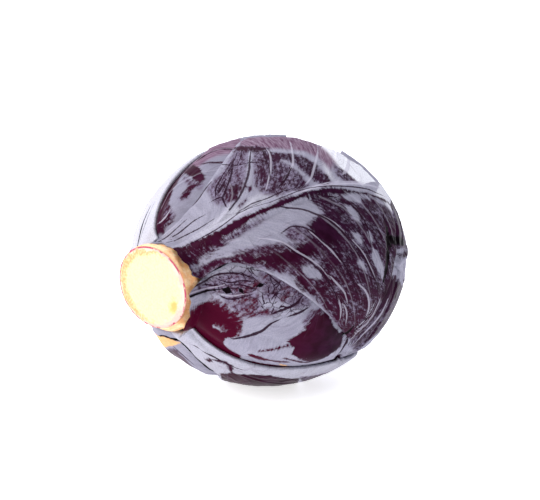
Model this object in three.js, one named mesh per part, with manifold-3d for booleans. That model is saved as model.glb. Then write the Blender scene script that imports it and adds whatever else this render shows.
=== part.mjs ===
// A head of red cabbage lying on its side, in millimetres, +Z up.
// Its cut stem points along -X and its crown along +X. The origin is on the surface it lies on,
// under the middle of the head with its stem.
import * as THREE from "three";
import { mergeVertices } from "three/addons/utils/BufferGeometryUtils.js";
import Module from "manifold-3d";

const wasm = await Module();
wasm.setup();

// The head's outer form, as half lengths from the middle of the head
const HEAD_HALF_LENGTH = 80;
const HEAD_HALF_WIDTH = 73;
const HEAD_HALF_HEIGHT = 69;
const REST_HEIGHT = 66.8; // the middle of the head above the small flat spot it lies on
const HEAD_CENTRE = new THREE.Vector3(5, -0.25, REST_HEIGHT);

// The leaves, as sheets laid over each other
const BLADE = 1.3; // thickness of a leaf between its veins
const MARGIN = 0.8; // thickness at its edge
const LAYER = 2; // depth from the outside of one leaf to the outside of the next one in
const REACH = 8; // how far past an edge the leaf below stays down
const FALL = 16; // and over what distance it then comes up
const CORE_REACH = 14; // the same reach for the core, which is more coarsely faceted
const CORE_DROP = 1.4; // extra room between the core and the leaves that lie on it
const SEAT = 9; // how deep the crown leaves are grown into the core
const CROWN_SHOWS = 126; // degrees from the stem's axis past which the core shows
const CROWN_BLEND = 14; // and over how many degrees its hidden part ends before that
const MARGIN_SPAN = 13; // longest facet across a leaf

// The veins of every leaf, as fractions of the leaf's length along its midrib
const VEIN_COUNT = 6;
const FIRST_VEIN = 0.15;
const VEIN_SPACING = 0.135;
const VEIN_HALF_WIDTH = 0.022;
const VEIN_HEIGHT = 0.8;
const PUFF = 0.35; // swell of the blade between two veins
const MARGIN_WAVES = 5;

// The stem, cut a little past the leaves, and its axis, which rises slightly away from the head
const STEM_INNER = -71.8; // its inner end, from the middle of the head
const STEM_CUT = -88;
const STEM_CUT_RADIUS = 22.5;
const STEM_INNER_RADIUS = 22.4;
const STEM_CUT_RISE = 3.6;
const STEM_CUT_LEAN = { across: 0.037, up: 0.125 }; // slope of the cut face
const STEM_GAP = 0.3;
const STEM_SIDES = 30;

const STEMWARD = new THREE.Vector3(-1, 0, 0);
const MM_PER_DEGREE = (Math.PI / 180) * 74;
const BLUNT_TIP = 0.985;
const ROUNDING = 1.6;

// Every leaf is laid out round its midrib. "middle" is the midrib's place round the stem, in
// degrees from the top towards the front. "start" and "tip" are angles from the stem's axis.
// A side has its half width in degrees at the stem and at its widest, and where it widens.
// The list goes from the outermost leaf to the innermost.
const LEAVES = [
  {
    name: "leaf_top_front", middle: 44, start: 19, tip: 122, round: 79,
    before: { base: 14, wide: 50, from: 16, to: 80, arch: 0.34 },
    after: { base: 11, wide: 68, from: 27, to: 70, arch: 0.31 },
    bend: [[20, -4], [37, -2], [60, -1], [83, 1], [95, 3], [109, 5], [126, 6]],
    rib: { width: 15, height: 3.2 }, lift: 1, wave: 0.4, colour: 0x54293f,
  },
  {
    name: "leaf_underside", middle: 150, start: 17.4, tip: 119, round: 80,
    before: { base: 3, wide: 21, from: 15, to: 88, arch: 0.3 },
    after: { base: 7, wide: 50, from: 36, to: 76, arch: 0.33 },
    bend: [[20, 0], [60, 0.5], [120, 0]],
    rib: { width: 5, height: 1.2 }, lift: 0.9, wave: 0.3, colour: 0x5b3347,
  },
  {
    name: "leaf_back", middle: 275, start: 18.2, tip: 118, round: 80,
    before: { base: 15, wide: 48, from: 8, to: 60, arch: 0.33 },
    after: { base: 15, wide: 58, from: 3, to: 50, arch: 0.32 },
    bend: [[20, 1], [60, -1], [120, 2]],
    rib: { width: 14, height: 2.8 }, lift: 3.2, wave: 0.8, colour: 0x5e384d,
  },
  {
    name: "leaf_low_front", middle: 119, start: 17.8, tip: 130, round: 86,
    before: { base: 15, wide: 43, from: 8, to: 30, arch: 0.32 },
    after: { base: 12, wide: 40, from: 20, to: 60, arch: 0.33 },
    bend: [[20, 0], [60, 1], [100, -1], [130, -2]],
    rib: { width: 20, height: 1.6 }, lift: 0.4, wave: 0.3, colour: 0x4e2438,
  },
  {
    name: "leaf_top_back", middle: 325, start: 19.3, tip: 124, round: 84,
    before: { base: 15, wide: 40, from: 12, to: 60, arch: 0.33 },
    after: { base: 15, wide: 45, from: 10, to: 45, arch: 0.31 },
    bend: [[20, 1], [70, -1], [124, -2]],
    rib: { width: 12, height: 2.2 }, lift: 0.6, wave: 0.3, colour: 0x5a3046,
  },
  {
    name: "leaf_bottom_back", middle: 205, start: 17.2, tip: 122, round: 82,
    before: { base: 14, wide: 45, from: 8, to: 35, arch: 0.31 },
    after: { base: 14, wide: 45, from: 10, to: 50, arch: 0.33 },
    bend: [[20, 0], [70, 1], [122, -1]],
    rib: { width: 14, height: 1.6 }, lift: 0.5, wave: 0.3, colour: 0x5c3548,
  },
  {
    name: "crown_leaf_over", middle: 248, start: 84, tip: 206, round: 138, grown: true,
    before: { base: 40, wide: 55, from: 84, to: 120, arch: 0.3 },
    after: { base: 40, wide: 52, from: 84, to: 120, arch: 0.3 },
    bend: [[84, 0], [140, 5], [206, -6]],
    rib: { width: 8, height: 2 }, lift: 0.6, wave: 0.4,
  },
  {
    name: "crown_leaf_under", middle: 88, start: 84, tip: 204, round: 140, grown: true,
    before: { base: 42, wide: 52, from: 84, to: 120, arch: 0.3 },
    after: { base: 42, wide: 52, from: 84, to: 120, arch: 0.3 },
    bend: [[84, 0], [150, -3], [204, 0]],
    rib: { width: 8, height: 2 }, lift: 0.6, wave: 0.4,
  },
];

const toRadians = THREE.MathUtils.degToRad;
const toDegrees = THREE.MathUtils.radToDeg;
const { smoothstep, clamp, lerp } = THREE.MathUtils;

for (const leaf of LEAVES) {
  const middle = toRadians(leaf.middle);
  leaf.ribward = new THREE.Vector3(0, -Math.sin(middle), Math.cos(middle));
  leaf.sideward = new THREE.Vector3(0, -Math.cos(middle), -Math.sin(middle));
}

// A value that follows a short list of [place, value] steps, smoothed between them
function follow(steps, place) {
  for (let i = 1; i < steps.length; i++) {
    if (place < steps[i][0]) {
      const share = smoothstep(place, steps[i - 1][0], steps[i][0]);
      return lerp(steps[i - 1][1], steps[i][1], share);
    }
  }
  return steps[steps.length - 1][1];
}

// Half width of one side of a leaf in degrees: narrow at the stem, wide, then rounded to the tip
function halfWidth(leaf, side, along) {
  const grown = side.base + (side.wide - side.base) * smoothstep(along, side.from, side.to);
  const end = clamp((along - leaf.round) / (leaf.tip - leaf.round), 0, 0.999);
  return grown * Math.pow(1 - Math.pow(end, ROUNDING), 1 / ROUNDING);
}

// The direction from the middle of the head to a place on a leaf
function leafDirection(leaf, along, across) {
  const a = toRadians(along);
  const b = toRadians(across);
  return new THREE.Vector3()
    .addScaledVector(STEMWARD, Math.cos(a) * Math.cos(b))
    .addScaledVector(leaf.ribward, Math.sin(a) * Math.cos(b))
    .addScaledVector(leaf.sideward, Math.sin(b));
}

// How far inside a leaf's edge a direction is, in millimetres, negative outside it
function insideBy(leaf, direction) {
  let along = toDegrees(Math.atan2(direction.dot(leaf.ribward), direction.dot(STEMWARD)));
  if (along < -90) along += 360;
  const across = toDegrees(Math.asin(clamp(direction.dot(leaf.sideward), -1, 1)));
  const offset = across - follow(leaf.bend, along);
  const side = offset < 0 ? leaf.before : leaf.after;
  const squeeze = Math.max(Math.cos(toRadians(across)), 0.2);
  const slope = (halfWidth(leaf, side, along + 1) - halfWidth(leaf, side, along - 1)) / (2 * squeeze);
  const toEdge = (halfWidth(leaf, side, along) - Math.abs(offset)) / Math.hypot(1, slope);
  const fromStem = toDegrees(direction.angleTo(STEMWARD)) - leaf.start;
  const lastAlong = lerp(leaf.round, leaf.tip, BLUNT_TIP);
  const toTip = (lastAlong - along) * squeeze;
  return MM_PER_DEGREE * Math.min(toEdge, fromStem, toTip, along);
}

// How much a leaf presses down what lies under it: 1 under it and a little past its edge, then 0
function cover(leaf, direction, reach) {
  return smoothstep(insideBy(leaf, direction), -reach - FALL, -reach);
}

// The smooth outside of the whole head, flattened where it lies on the surface
function headRadius(direction) {
  const round = 1 / Math.hypot(
    direction.x / HEAD_HALF_LENGTH, direction.y / HEAD_HALF_WIDTH, direction.z / HEAD_HALF_HEIGHT);
  const floor = direction.z < 0 ? REST_HEIGHT / -direction.z : Infinity;
  return { radius: Math.min(round, floor), pressed: Math.max(round - floor, 0) };
}

// The outside of the layer at a given place in the list of leaves, before its veins
function layerRadius(direction, place, reach = REACH) {
  let radius = headRadius(direction).radius;
  for (const leaf of LEAVES.slice(0, place)) radius -= LAYER * cover(leaf, direction, reach);
  return radius;
}

// The outside of the inner head at that place, with its extra room where the leaves hide it
function innerRadius(direction, place) {
  const fromStem = toDegrees(direction.angleTo(STEMWARD));
  const hidden = 1 - smoothstep(fromStem, CROWN_SHOWS - CROWN_BLEND, CROWN_SHOWS);
  return layerRadius(direction, place, lerp(REACH, CORE_REACH, hidden)) - CORE_DROP * hidden;
}

// How free a leaf's outside is of the leaves over it and of the surface it lies on
function freedom(direction, place) {
  let free = 1 - smoothstep(headRadius(direction).pressed, 0, 0.4);
  for (const leaf of LEAVES.slice(0, place)) {
    free *= 1 - smoothstep(insideBy(leaf, direction), -REACH, 0);
  }
  return free;
}

// Rows across a leaf: the stem end, then the foot, crest and foot of every vein, and the tip
function leafRows() {
  const rows = [0, 0.012, 0.035, 0.065, 0.1];
  for (let i = 0; i < VEIN_COUNT; i++) {
    const vein = FIRST_VEIN + VEIN_SPACING * i;
    rows.push(vein - VEIN_HALF_WIDTH, vein, vein + VEIN_HALF_WIDTH, vein + VEIN_SPACING / 2);
  }
  return [...rows, 0.95, 1];
}

// Columns of one side: the midrib's flank and foot, then even steps out to the edge
function sideColumns(side, sign) {
  const spans = Math.ceil((side.wide * MM_PER_DEGREE) / MARGIN_SPAN);
  const columns = [{ sign, rib: 0.5, edge: 0 }, { sign, rib: 1, edge: 0 }];
  for (let i = 1; i <= spans; i++) columns.push({ sign, rib: 1, edge: i / spans });
  return columns;
}

function veinRelief(row) {
  let crest = 0;
  for (let i = 0; i < VEIN_COUNT; i++) {
    const away = (row - FIRST_VEIN - VEIN_SPACING * i) / (VEIN_HALF_WIDTH * 0.55);
    crest += Math.exp(-away * away);
  }
  const inRange = smoothstep(row, 0.05, FIRST_VEIN) * (1 - smoothstep(row, 0.88, 1));
  const swell = Math.pow(Math.sin((Math.PI * (row - FIRST_VEIN)) / VEIN_SPACING), 2);
  return VEIN_HEIGHT * crest + PUFF * swell * inRange;
}

// One point of a leaf: its direction and how far out its two faces are
function leafPoint(leaf, place, row, column) {
  const side = column.sign < 0 ? leaf.before : leaf.after;
  const ribHalf = ((leaf.rib.width / 2) * lerp(1, 0.35, Math.sqrt(row))) / MM_PER_DEGREE;
  const last = lerp(leaf.round, leaf.tip, BLUNT_TIP);
  // Every column starts on a circle round the stem
  const stemOffset = lerp(Math.min(column.rib * ribHalf, side.base * 0.8), side.base, column.edge);
  const atStem = follow(leaf.bend, leaf.start) + column.sign * stemOffset;
  const first = toDegrees(Math.acos(Math.cos(toRadians(leaf.start)) / Math.cos(toRadians(atStem))));
  // The rows arch towards the tip as the side veins do
  const bow = side.arch * Math.pow(column.edge, 0.6);
  const arched = row + bow * Math.sin(Math.PI * Math.pow(row, 0.75));
  const along = lerp(first, last, arched);
  const width = halfWidth(leaf, side, along);
  const offset = lerp(Math.min(column.rib * ribHalf, width * 0.8), width, column.edge);
  const share = offset / width;
  const across = follow(leaf.bend, along) + column.sign * offset;
  const direction = leafDirection(leaf, along, across);
  const layer = leaf.grown ? innerRadius(direction, place) : layerRadius(direction, place);
  const free = freedom(direction, place);
  const ribProfile = column.edge > 0 ? 0 : Math.pow(Math.cos((Math.PI / 2) * column.rib), 0.8);
  const ribFade = lerp(1, 0.3, row) * (1 - smoothstep(row, 0.85, 1));
  const rib = leaf.rib.height * ribProfile * ribFade;
  const veins = veinRelief(row) * Math.pow(1 - share, 0.6) * (1 - 0.7 * row) * (1 - ribProfile);
  const edge = Math.pow(share, 4) * smoothstep(row, 0, 0.12);
  const waving = leaf.wave * Math.sin(2 * Math.PI * MARGIN_WAVES * row + leaf.middle + column.sign);
  const raised = Math.max(leaf.lift * Math.sin(Math.PI * Math.pow(row, 0.6)) + waving, 0) * edge * free;
  const thickness = leaf.grown ? SEAT : lerp(BLADE, MARGIN, share * share);
  return {
    direction,
    outer: layer + raised + (rib + veins) * free,
    inner: layer + raised - thickness,
  };
}

function toGeometry(points, faces) {
  const geometry = new THREE.BufferGeometry();
  const flat = points.flatMap((p) => [p.x, p.y, Math.max(p.z, -REST_HEIGHT)]);
  geometry.setAttribute("position", new THREE.Float32BufferAttribute(flat, 3));
  geometry.setIndex(faces.flat());
  return geometry;
}

// A leaf is one closed sheet: its outer face, its inner face with the same triangles, and a rim
function leafGeometry(leaf, place) {
  const rows = leafRows();
  const columns = [
    ...sideColumns(leaf.before, -1).reverse(),
    { sign: 1, rib: 0, edge: 0 },
    ...sideColumns(leaf.after, 1),
  ];
  const grid = rows.map((row) => columns.map((column) => leafPoint(leaf, place, row, column)));
  const wide = columns.length;
  const count = rows.length * wide;
  const flat = grid.flat();
  const points = [
    ...flat.map((p) => p.direction.clone().multiplyScalar(p.outer)),
    ...flat.map((p) => p.direction.clone().multiplyScalar(p.inner)),
  ];
  const faces = [];
  const wall = (p, q) => faces.push([q, p, p + count], [q, p + count, q + count]);
  for (let i = 0; i < rows.length - 1; i++) {
    for (let j = 0; j < wide - 1; j++) {
      const [a, b, c, d] = [i * wide + j, i * wide + j + 1, (i + 1) * wide + j + 1, (i + 1) * wide + j];
      const cutsAC = points[a].distanceTo(points[c]) < points[b].distanceTo(points[d]);
      const pair = cutsAC ? [[a, b, c], [a, c, d]] : [[a, b, d], [b, c, d]];
      for (const [p, q, r] of pair) faces.push([p, q, r], [p + count, r + count, q + count]);
    }
  }
  const last = (rows.length - 1) * wide;
  for (let j = 0; j < wide - 1; j++) {
    wall(j, j + 1);
    wall(last + j + 1, last + j);
  }
  for (let i = 0; i < rows.length - 1; i++) {
    wall((i + 1) * wide, i * wide);
    wall(i * wide + wide - 1, (i + 1) * wide + wide - 1);
  }
  return toGeometry(points, faces);
}

// A closed body made of rings of points from one end to the other, each end closed to a point
function ringedGeometry(firstPoint, rings, lastPoint) {
  const sides = rings[0].length;
  const points = [firstPoint, ...rings.flat(), lastPoint];
  const at = (ring, side) => 1 + ring * sides + (side % sides);
  const end = points.length - 1;
  const faces = [];
  for (let j = 0; j < sides; j++) {
    faces.push([0, at(0, j), at(0, j + 1)]);
    faces.push([end, at(rings.length - 1, j + 1), at(rings.length - 1, j)]);
    for (let i = 0; i < rings.length - 1; i++) {
      faces.push([at(i, j), at(i + 1, j), at(i + 1, j + 1)], [at(i, j), at(i + 1, j + 1), at(i, j + 1)]);
    }
  }
  return toGeometry(points, faces);
}

// The direction at an angle from the stem's axis and a place round it
function roundStem(fromStem, around) {
  const a = toRadians(fromStem);
  const b = toRadians(around);
  return new THREE.Vector3(-Math.cos(a), -Math.sin(a) * Math.sin(b), Math.sin(a) * Math.cos(b));
}

// The core: the packed inner leaves, smooth where they are hidden and flat where the stem sits
function coreGeometry() {
  const steps = [8, 16, 24, 33, 42, 51, 60, 69, 78, 87, 96, 104, 112, 119, 126, 133, 140, 147, 154,
    161, 168, 174];
  const seat = STEM_INNER + STEM_GAP;
  const sides = 40;
  const place = (direction) => {
    const point = direction.clone().multiplyScalar(innerRadius(direction, LEAVES.length));
    point.x = Math.max(point.x, seat);
    return point;
  };
  const rings = steps.map((fromStem) => Array.from({ length: sides }, (_, j) => (
    place(roundStem(fromStem, (-360 * j) / sides)))));
  const crown = place(roundStem(180, 0));
  return ringedGeometry(new THREE.Vector3(seat, 0, 0), rings, crown);
}

function toManifold(geometry) {
  const bare = geometry.clone();
  for (const name of Object.keys(bare.attributes)) if (name !== "position") bare.deleteAttribute(name);
  const merged = mergeVertices(bare);
  return new wasm.Manifold(new wasm.Mesh({
    numProp: 3,
    vertProperties: Float32Array.from(merged.attributes.position.array),
    triVerts: Uint32Array.from(merged.index.array),
  }));
}

function fromManifold(solid) {
  const { vertProperties, triVerts } = solid.getMesh();
  const geometry = new THREE.BufferGeometry();
  geometry.setAttribute("position", new THREE.Float32BufferAttribute(vertProperties, 3));
  geometry.setIndex([...triVerts]);
  return geometry;
}

// The tight inner head: the core with the two leaves that close over the crown grown into it
function innerHeadGeometry() {
  let solid = toManifold(coreGeometry());
  LEAVES.forEach((leaf, place) => {
    if (leaf.grown) solid = solid.add(toManifold(leafGeometry(leaf, place)));
  });
  return fromManifold(solid);
}

// The stump of the stem: old leaf scars run round it as low ridges, and the knife left it flat
function stemGeometry() {
  const length = STEM_INNER - STEM_CUT;
  const scars = (share, around) => 0.55 * Math.sin(3 * Math.PI * share + around)
    + 0.35 * Math.sin(2 * around + 9 * share) + 0.25 * Math.sin(5 * around - 4 * share);
  const ring = (share, radiusShare) => Array.from({ length: STEM_SIDES }, (_, j) => {
    const around = (2 * Math.PI * j) / STEM_SIDES;
    const swell = 1.1 * Math.sin(Math.PI * clamp((share - 0.2) / 0.7, 0, 1));
    const ridges = scars(share, around) * smoothstep(share, 0.25, 0.5) * (1 - smoothstep(share, 0.8, 1));
    const radius = (lerp(STEM_INNER_RADIUS, STEM_CUT_RADIUS, share) + swell + ridges) * radiusShare;
    const y = radius * Math.sin(around);
    const up = radius * Math.cos(around);
    const lean = share * (STEM_CUT_LEAN.across * y + STEM_CUT_LEAN.up * up);
    return new THREE.Vector3(STEM_INNER - length * share - lean, y, STEM_CUT_RISE * share + up);
  });
  const rings = [
    ring(0, 0.5), ring(0, 1), ring(0.22, 1), ring(0.36, 1), ring(0.5, 1), ring(0.62, 1), ring(0.74, 1),
    ring(0.86, 1), ring(0.96, 1), ring(1, 0.96), ring(1, 0.66), ring(1, 0.33),
  ];
  const cutMiddle = new THREE.Vector3(STEM_CUT, 0, STEM_CUT_RISE);
  return ringedGeometry(cutMiddle, rings.reverse(), new THREE.Vector3(STEM_INNER, 0, 0));
}

const head = new THREE.Group();
head.position.copy(HEAD_CENTRE);

function addPiece(name, geometry, colour, roughness) {
  const material = new THREE.MeshStandardMaterial({ color: colour, roughness, metalness: 0 });
  const mesh = new THREE.Mesh(geometry, material);
  mesh.name = name;
  head.add(mesh);
}

addPiece("stem", stemGeometry(), 0xe6cf9c, 0.7);
addPiece("inner_head", innerHeadGeometry(), 0x5b2f45, 0.4);
LEAVES.forEach((leaf, place) => {
  if (!leaf.grown) addPiece(leaf.name, leafGeometry(leaf, place), leaf.colour, 0.35);
});

const cabbage = new THREE.Group();
cabbage.add(head);

export default cabbage;
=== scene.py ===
import bpy
import numpy as np
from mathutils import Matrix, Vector


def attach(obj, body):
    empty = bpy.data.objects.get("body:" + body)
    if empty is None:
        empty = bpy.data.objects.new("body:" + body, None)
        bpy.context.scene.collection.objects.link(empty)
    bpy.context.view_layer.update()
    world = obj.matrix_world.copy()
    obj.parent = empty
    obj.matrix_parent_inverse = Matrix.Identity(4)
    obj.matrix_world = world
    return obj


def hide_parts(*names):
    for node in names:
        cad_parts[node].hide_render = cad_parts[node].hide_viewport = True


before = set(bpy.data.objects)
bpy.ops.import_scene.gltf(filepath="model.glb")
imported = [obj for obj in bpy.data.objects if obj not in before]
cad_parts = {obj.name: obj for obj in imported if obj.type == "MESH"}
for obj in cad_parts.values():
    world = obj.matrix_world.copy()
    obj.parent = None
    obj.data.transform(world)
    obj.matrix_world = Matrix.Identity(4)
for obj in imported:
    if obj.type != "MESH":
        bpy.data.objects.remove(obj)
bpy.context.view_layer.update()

MM = 0.001
HEAD_CENTRE = np.array([5, -0.25, 66.8])

# The camera: a portrait lens on a full frame body, in front of the stem's side and a little above
# the head, far enough off for the head to fill half of the picture's width
CAMERA_AZIMUTH = np.radians(-47)
CAMERA_ELEVATION = np.radians(15.5)
CAMERA_DISTANCE = 714
AIMS_ABOVE_CENTRE = 5.3
LENS = 85
SENSOR_WIDTH = 36
level = np.array([np.sin(CAMERA_AZIMUTH), -np.cos(CAMERA_AZIMUTH), 0])
straight_up = np.array([0, 0, 1])
away = level * np.cos(CAMERA_ELEVATION) + straight_up * np.sin(CAMERA_ELEVATION)
frame_up = straight_up * np.cos(CAMERA_ELEVATION) - level * np.sin(CAMERA_ELEVATION)
eye = away * CAMERA_DISTANCE + frame_up * AIMS_ABOVE_CENTRE
camera = bpy.data.objects.new("camera", bpy.data.cameras.new("camera"))
camera.data.lens = LENS
camera.data.sensor_width = SENSOR_WIDTH
camera.data.clip_start = 0.05
camera.data.clip_end = 50
camera.location = MM * (HEAD_CENTRE + eye)
camera.rotation_mode = "QUATERNION"
camera.rotation_quaternion = Vector(-away).to_track_quat("-Z", "Y")
bpy.context.scene.collection.objects.link(camera)
bpy.context.scene.camera = camera


# The studio: a wide table of matt white acrylic, lit from below, so that it stays white under the
# head. The eye sees it even, with no gloss and hardly any cloudiness.
def linear(colour):
    """An sRGB hex colour as the linear values that a shader takes."""
    channels = [int(colour[i : i + 2], 16) / 255 for i in (1, 3, 5)]
    return [c / 12.92 if c <= 0.04045 else ((c + 0.055) / 1.055) ** 2.4 for c in channels] + [1]


def add(tree, kind, links, out=0, **settings):
    """Adds a node with its settings, and links to it by its inputs' names. Gives back one output."""
    node = tree.nodes.new("ShaderNode" + kind)
    for name, value in settings.items():
        setattr(node, name, value)
    for name, value in links.items():
        if isinstance(value, bpy.types.NodeSocket):
            tree.links.new(value, node.inputs[name])
        else:
            node.inputs[name].default_value = value
    return node.outputs[out] if node.outputs else node


def new_material(name):
    material = bpy.data.materials.new(name)
    material.use_nodes = True
    material.node_tree.nodes.clear()
    return material, material.node_tree


FLOOR_SIDE = 16
FLOOR_GLOW = 0.7
CLOUDS_ACROSS_FLOOR = 4
material, tree = new_material("matt_white_acrylic")
clouds = add(tree, "TexNoise", {"Scale": CLOUDS_ACROSS_FLOOR, "Detail": 2})
white = add(tree, "Mix", {0: clouds, 6: linear("#f3f5f9"), 7: linear("#fafbfd")}, 2, data_type="RGBA")
acrylic = add(tree, "BsdfPrincipled", {"Base Color": white, "Roughness": 0.9, "Specular IOR Level": 0.0,
    "Emission Color": linear("#ffffff"), "Emission Strength": FLOOR_GLOW})
add(tree, "OutputMaterial", {"Surface": acrylic})
bpy.ops.mesh.primitive_plane_add(size=FLOOR_SIDE)
floor = bpy.context.object
floor.name = "floor"
floor.data.materials.append(material)

# The air of the studio is bright behind the head and above it, and dim where the camera stands
BRIGHT_SIDE = (0.42, 0.72, 0.55)
DIM_FROM = -0.25
BRIGHT_FROM = 0.75
DIM_AIR = 0.08
BRIGHT_AIR = 1.5
world = bpy.data.worlds.new("studio")
world.use_nodes = True
tree = world.node_tree
tree.nodes.clear()
towards = add(tree, "TexCoord", {}, "Generated")
facing = add(tree, "VectorMath", {0: towards, 1: BRIGHT_SIDE}, "Value", operation="DOT_PRODUCT")
glow = add(tree, "MapRange", {"Value": facing, "From Min": DIM_FROM, "From Max": BRIGHT_FROM,
    "To Min": DIM_AIR, "To Max": BRIGHT_AIR}, interpolation_type="SMOOTHSTEP")
air = add(tree, "Background", {"Color": linear("#f6f8ff"), "Strength": glow})
add(tree, "OutputWorld", {"Surface": air})
bpy.context.scene.world = world
bpy.context.scene.view_settings.view_transform = "Standard"

# Three round soft boxes, all turned to the head: place in metres, size across, watts and colour
HEAD_MIDDLE = Vector((0, 0, 0.07))
SOFT_BOXES = {
    "key_light": ((-1.45, 0.45, 0.9), 1.1, 17, "#fffdf8"),
    "top_light": ((0.1, 0.35, 1.6), 0.9, 9, "#f7f9ff"),
    "front_light": ((-0.9, -1.3, 0.9), 0.8, 2.5, "#f8f9ff"),
}
for name, (place, size, watts, colour) in SOFT_BOXES.items():
    light = bpy.data.lights.new(name, "AREA")
    light.shape = "DISK"
    light.size = size
    light.energy = watts
    light.color = linear(colour)[:3]
    lamp = bpy.data.objects.new(name, light)
    lamp.location = place
    lamp.rotation_mode = "QUATERNION"
    lamp.rotation_quaternion = (HEAD_MIDDLE - Vector(place)).to_track_quat("-Z", "Y")
    bpy.context.scene.collection.objects.link(lamp)


# The large front leaf, the outermost, wraps the top and front of the head. It is a thin waxy blade
# on a thick midrib that runs up from the stem, and it is grown onto the stem at its foot. The other
# leaves are made in the same way, each laid one layer under those in the list.
HEAD_HALF = np.array([80, 73, 69])
REST_HEIGHT = 66.8
BLADE = 1.3
LAYER = 2
REACH = 0.7
FALL = 9
SPHERE = 74
MM_PER_DEGREE = np.pi / 180 * SPHERE
BLUNT_TIP = 0.985
ROUNDING = 1.6
RIB_TAPER = 0.65
RIB_ROOM = 0.8
RIB_COLUMNS = 6
FOOT_ROWS = 8
FOOT_RADIUS = 23.6
FIRST_VEIN = 0.15
VEIN_SPACING = 0.135
VEIN_COUNT = 6
VEIN_REACH = 0.9
VEIN_POINTS = 9
VEIN_WANDER = 0.012
VEIN_WIDTH = 1.4
VEIN_DRAWN = 0.7
VEIN_THINS = 0.5
BRANCH_SPACING = 0.11
BRANCH_DEGREES = (5, 11)
BRANCH_SLANT = (35, 60)
BRANCH_POINTS = 5
THREAD_WIDTH = 0.9
THREAD_DRAWN = 0.3
THREAD_HEIGHT = 0.2
PILLOW_HEIGHT = 0.45
PILLOW_REACH = 9
WAVES = 5
RIPPLES = 15.5
RIPPLE_SHARE = 0.35
WAVES_FROM_ROW = 0.12
PRESSED_FLAT = 0.4
BARED_OVER = 1.5
# A leaf's own veins leave this much room round the ones that are marked on it
MARK_ROOM = (4, 11)
NOT_VEINED = 20
BEHIND_STEM = -1.6
PHOTO = (540, 500)
FAR = 99.0
MARK_REACH = 22
LINE_BLUR = 0.9
NO_LINE = [9.0, 0.0, 0.0]
# A line's own numbers reach this far, and fade over the last part of it
LINE_REACH = 3
LINE_FADE = 2
# Each kind of line: its colour, how strong it is, and how high it stands. The pale lines that are no veins
# are painted highlights on crests, lips and the lit sides of ridges, and cracks are drawn black as painted
# shade in cracks, holes and the gaps under leaves' margins.
LINES = {
    "vein": ("pale", 0.6, 0.45), "dark_vein": ("dark", 0.9, 0.3), "pale_line": ("pale", 0.6, 0.15),
    "dark_line": ("dark", 0.95, -0.15), "crack": ("black", 1.0, -0.9),
}
# Each kind of soft area: what it sets, and to how much. The lightening kind is painted light that whitens the
# bloom where rim light and highlights fall, and the mauve kind is a painted reflection of a soft box.
AREAS = {"frost": ("tone", 1.0), "painted_reflection": ("painted_reflection", 1.0), "crackle": ("crackle", 1.0)}
SOFT_EDGE = 3
WORN_EDGE = 4
CRISP_EDGE = 1
# A patch of bare skin or of bloom is less worn than the leaf round it, by this share
LESS_WORN = {"bare": 0.4, "bloom": 0.6}
# What a point has where no mark lies: whole bloom, a little worn, and neither cork nor painted reflection
UNMARKED = {"bloom": 6.0, "worn": 0.32, "cork": -9.0, "tone": 0.0, "painted_reflection": 0.0, "crackle": 0.0}
# The side that the photograph doesn't show is mottled all over, with the same bloom and bare skin
UNSEEN_SIDE = {"bloom": 0.9, "worn": 0.58, "painted_reflection": 0.0, "crackle": 0.0}
UNSEEN_FROM = (-0.12, 0.16)
WINE_SKIN = 0.3
WINE_FROM = 45
WINE_TO = 100
stemward = np.array([-1, 0, 0])
laid = []


def smooth(value, low, high):
    share = np.clip((value - low) / (high - low), 0, 1)
    return share * share * (3 - 2 * share)


def follow(steps, place):
    """A value that follows a short list of (place, value) steps, smoothed between them."""
    value = np.full(np.shape(place), float(steps[0][1]))
    for (start, low), (end, high) in zip(steps, steps[1:]):
        value = np.where(place >= start, low + (high - low) * smooth(place, start, end), value)
    return value


def round_stem(angle):
    """The two directions across the stem's axis for a leaf whose midrib is at that angle."""
    turn = np.radians(angle)
    return np.array([0, -np.sin(turn), np.cos(turn)]), np.array([0, -np.cos(turn), -np.sin(turn)])


def last_row(leaf):
    """How far along a leaf its mesh ends, in degrees, just short of the tip."""
    return leaf["round"] + (leaf["tip"] - leaf["round"]) * BLUNT_TIP


def half_width(leaf, before, along):
    """Half width of a leaf in degrees, on the side before its midrib or after it."""
    base, wide, start, end = [np.where(before, leaf["before"][k], leaf["after"][k]) for k in range(4)]
    grown = base + (wide - base) * smooth(along, start, end)
    tip = np.clip((along - leaf["round"]) / (leaf["tip"] - leaf["round"]), 0, 0.999)
    return grown * (1 - tip**ROUNDING) ** (1 / ROUNDING)


def leaf_direction(leaf, along, across):
    ribward, sideward = round_stem(leaf["middle"])
    a = np.radians(along)[..., None]
    b = np.radians(across)[..., None]
    return np.cos(b) * (np.cos(a) * stemward + np.sin(a) * ribward) + np.sin(b) * sideward


def inside_by(leaf, direction):
    """How far inside a leaf's edge a direction is, in millimetres, negative outside it."""
    ribward, sideward = round_stem(leaf["middle"])
    along = np.degrees(np.arctan2(direction @ ribward, direction @ stemward))
    along = np.where(along < -90, along + 360, along)
    across = np.degrees(np.arcsin(np.clip(direction @ sideward, -1, 1)))
    offset = across - follow(leaf["bend"], along)
    before = offset < 0
    squeeze = np.maximum(np.cos(np.radians(across)), 0.2)
    slope = (half_width(leaf, before, along + 1) - half_width(leaf, before, along - 1)) / (2 * squeeze)
    to_edge = (half_width(leaf, before, along) - np.abs(offset)) / np.hypot(1, slope)
    from_stem = np.degrees(np.arccos(np.clip(direction @ stemward, -1, 1))) - leaf["start"]
    to_tip = (last_row(leaf) - along) * squeeze
    return MM_PER_DEGREE * np.minimum(np.minimum(to_edge, from_stem), np.minimum(to_tip, along))


def head_radius(direction):
    """The smooth outside of the head, flattened where it rests, and by how much it is pressed."""
    oval = 1 / np.linalg.norm(direction / HEAD_HALF, axis=-1)
    down = np.minimum(direction[..., 2], -1e-6)
    ground = np.where(direction[..., 2] < 0, REST_HEIGHT / -down, np.inf)
    return np.minimum(oval, ground), np.maximum(oval - ground, 0)


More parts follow.
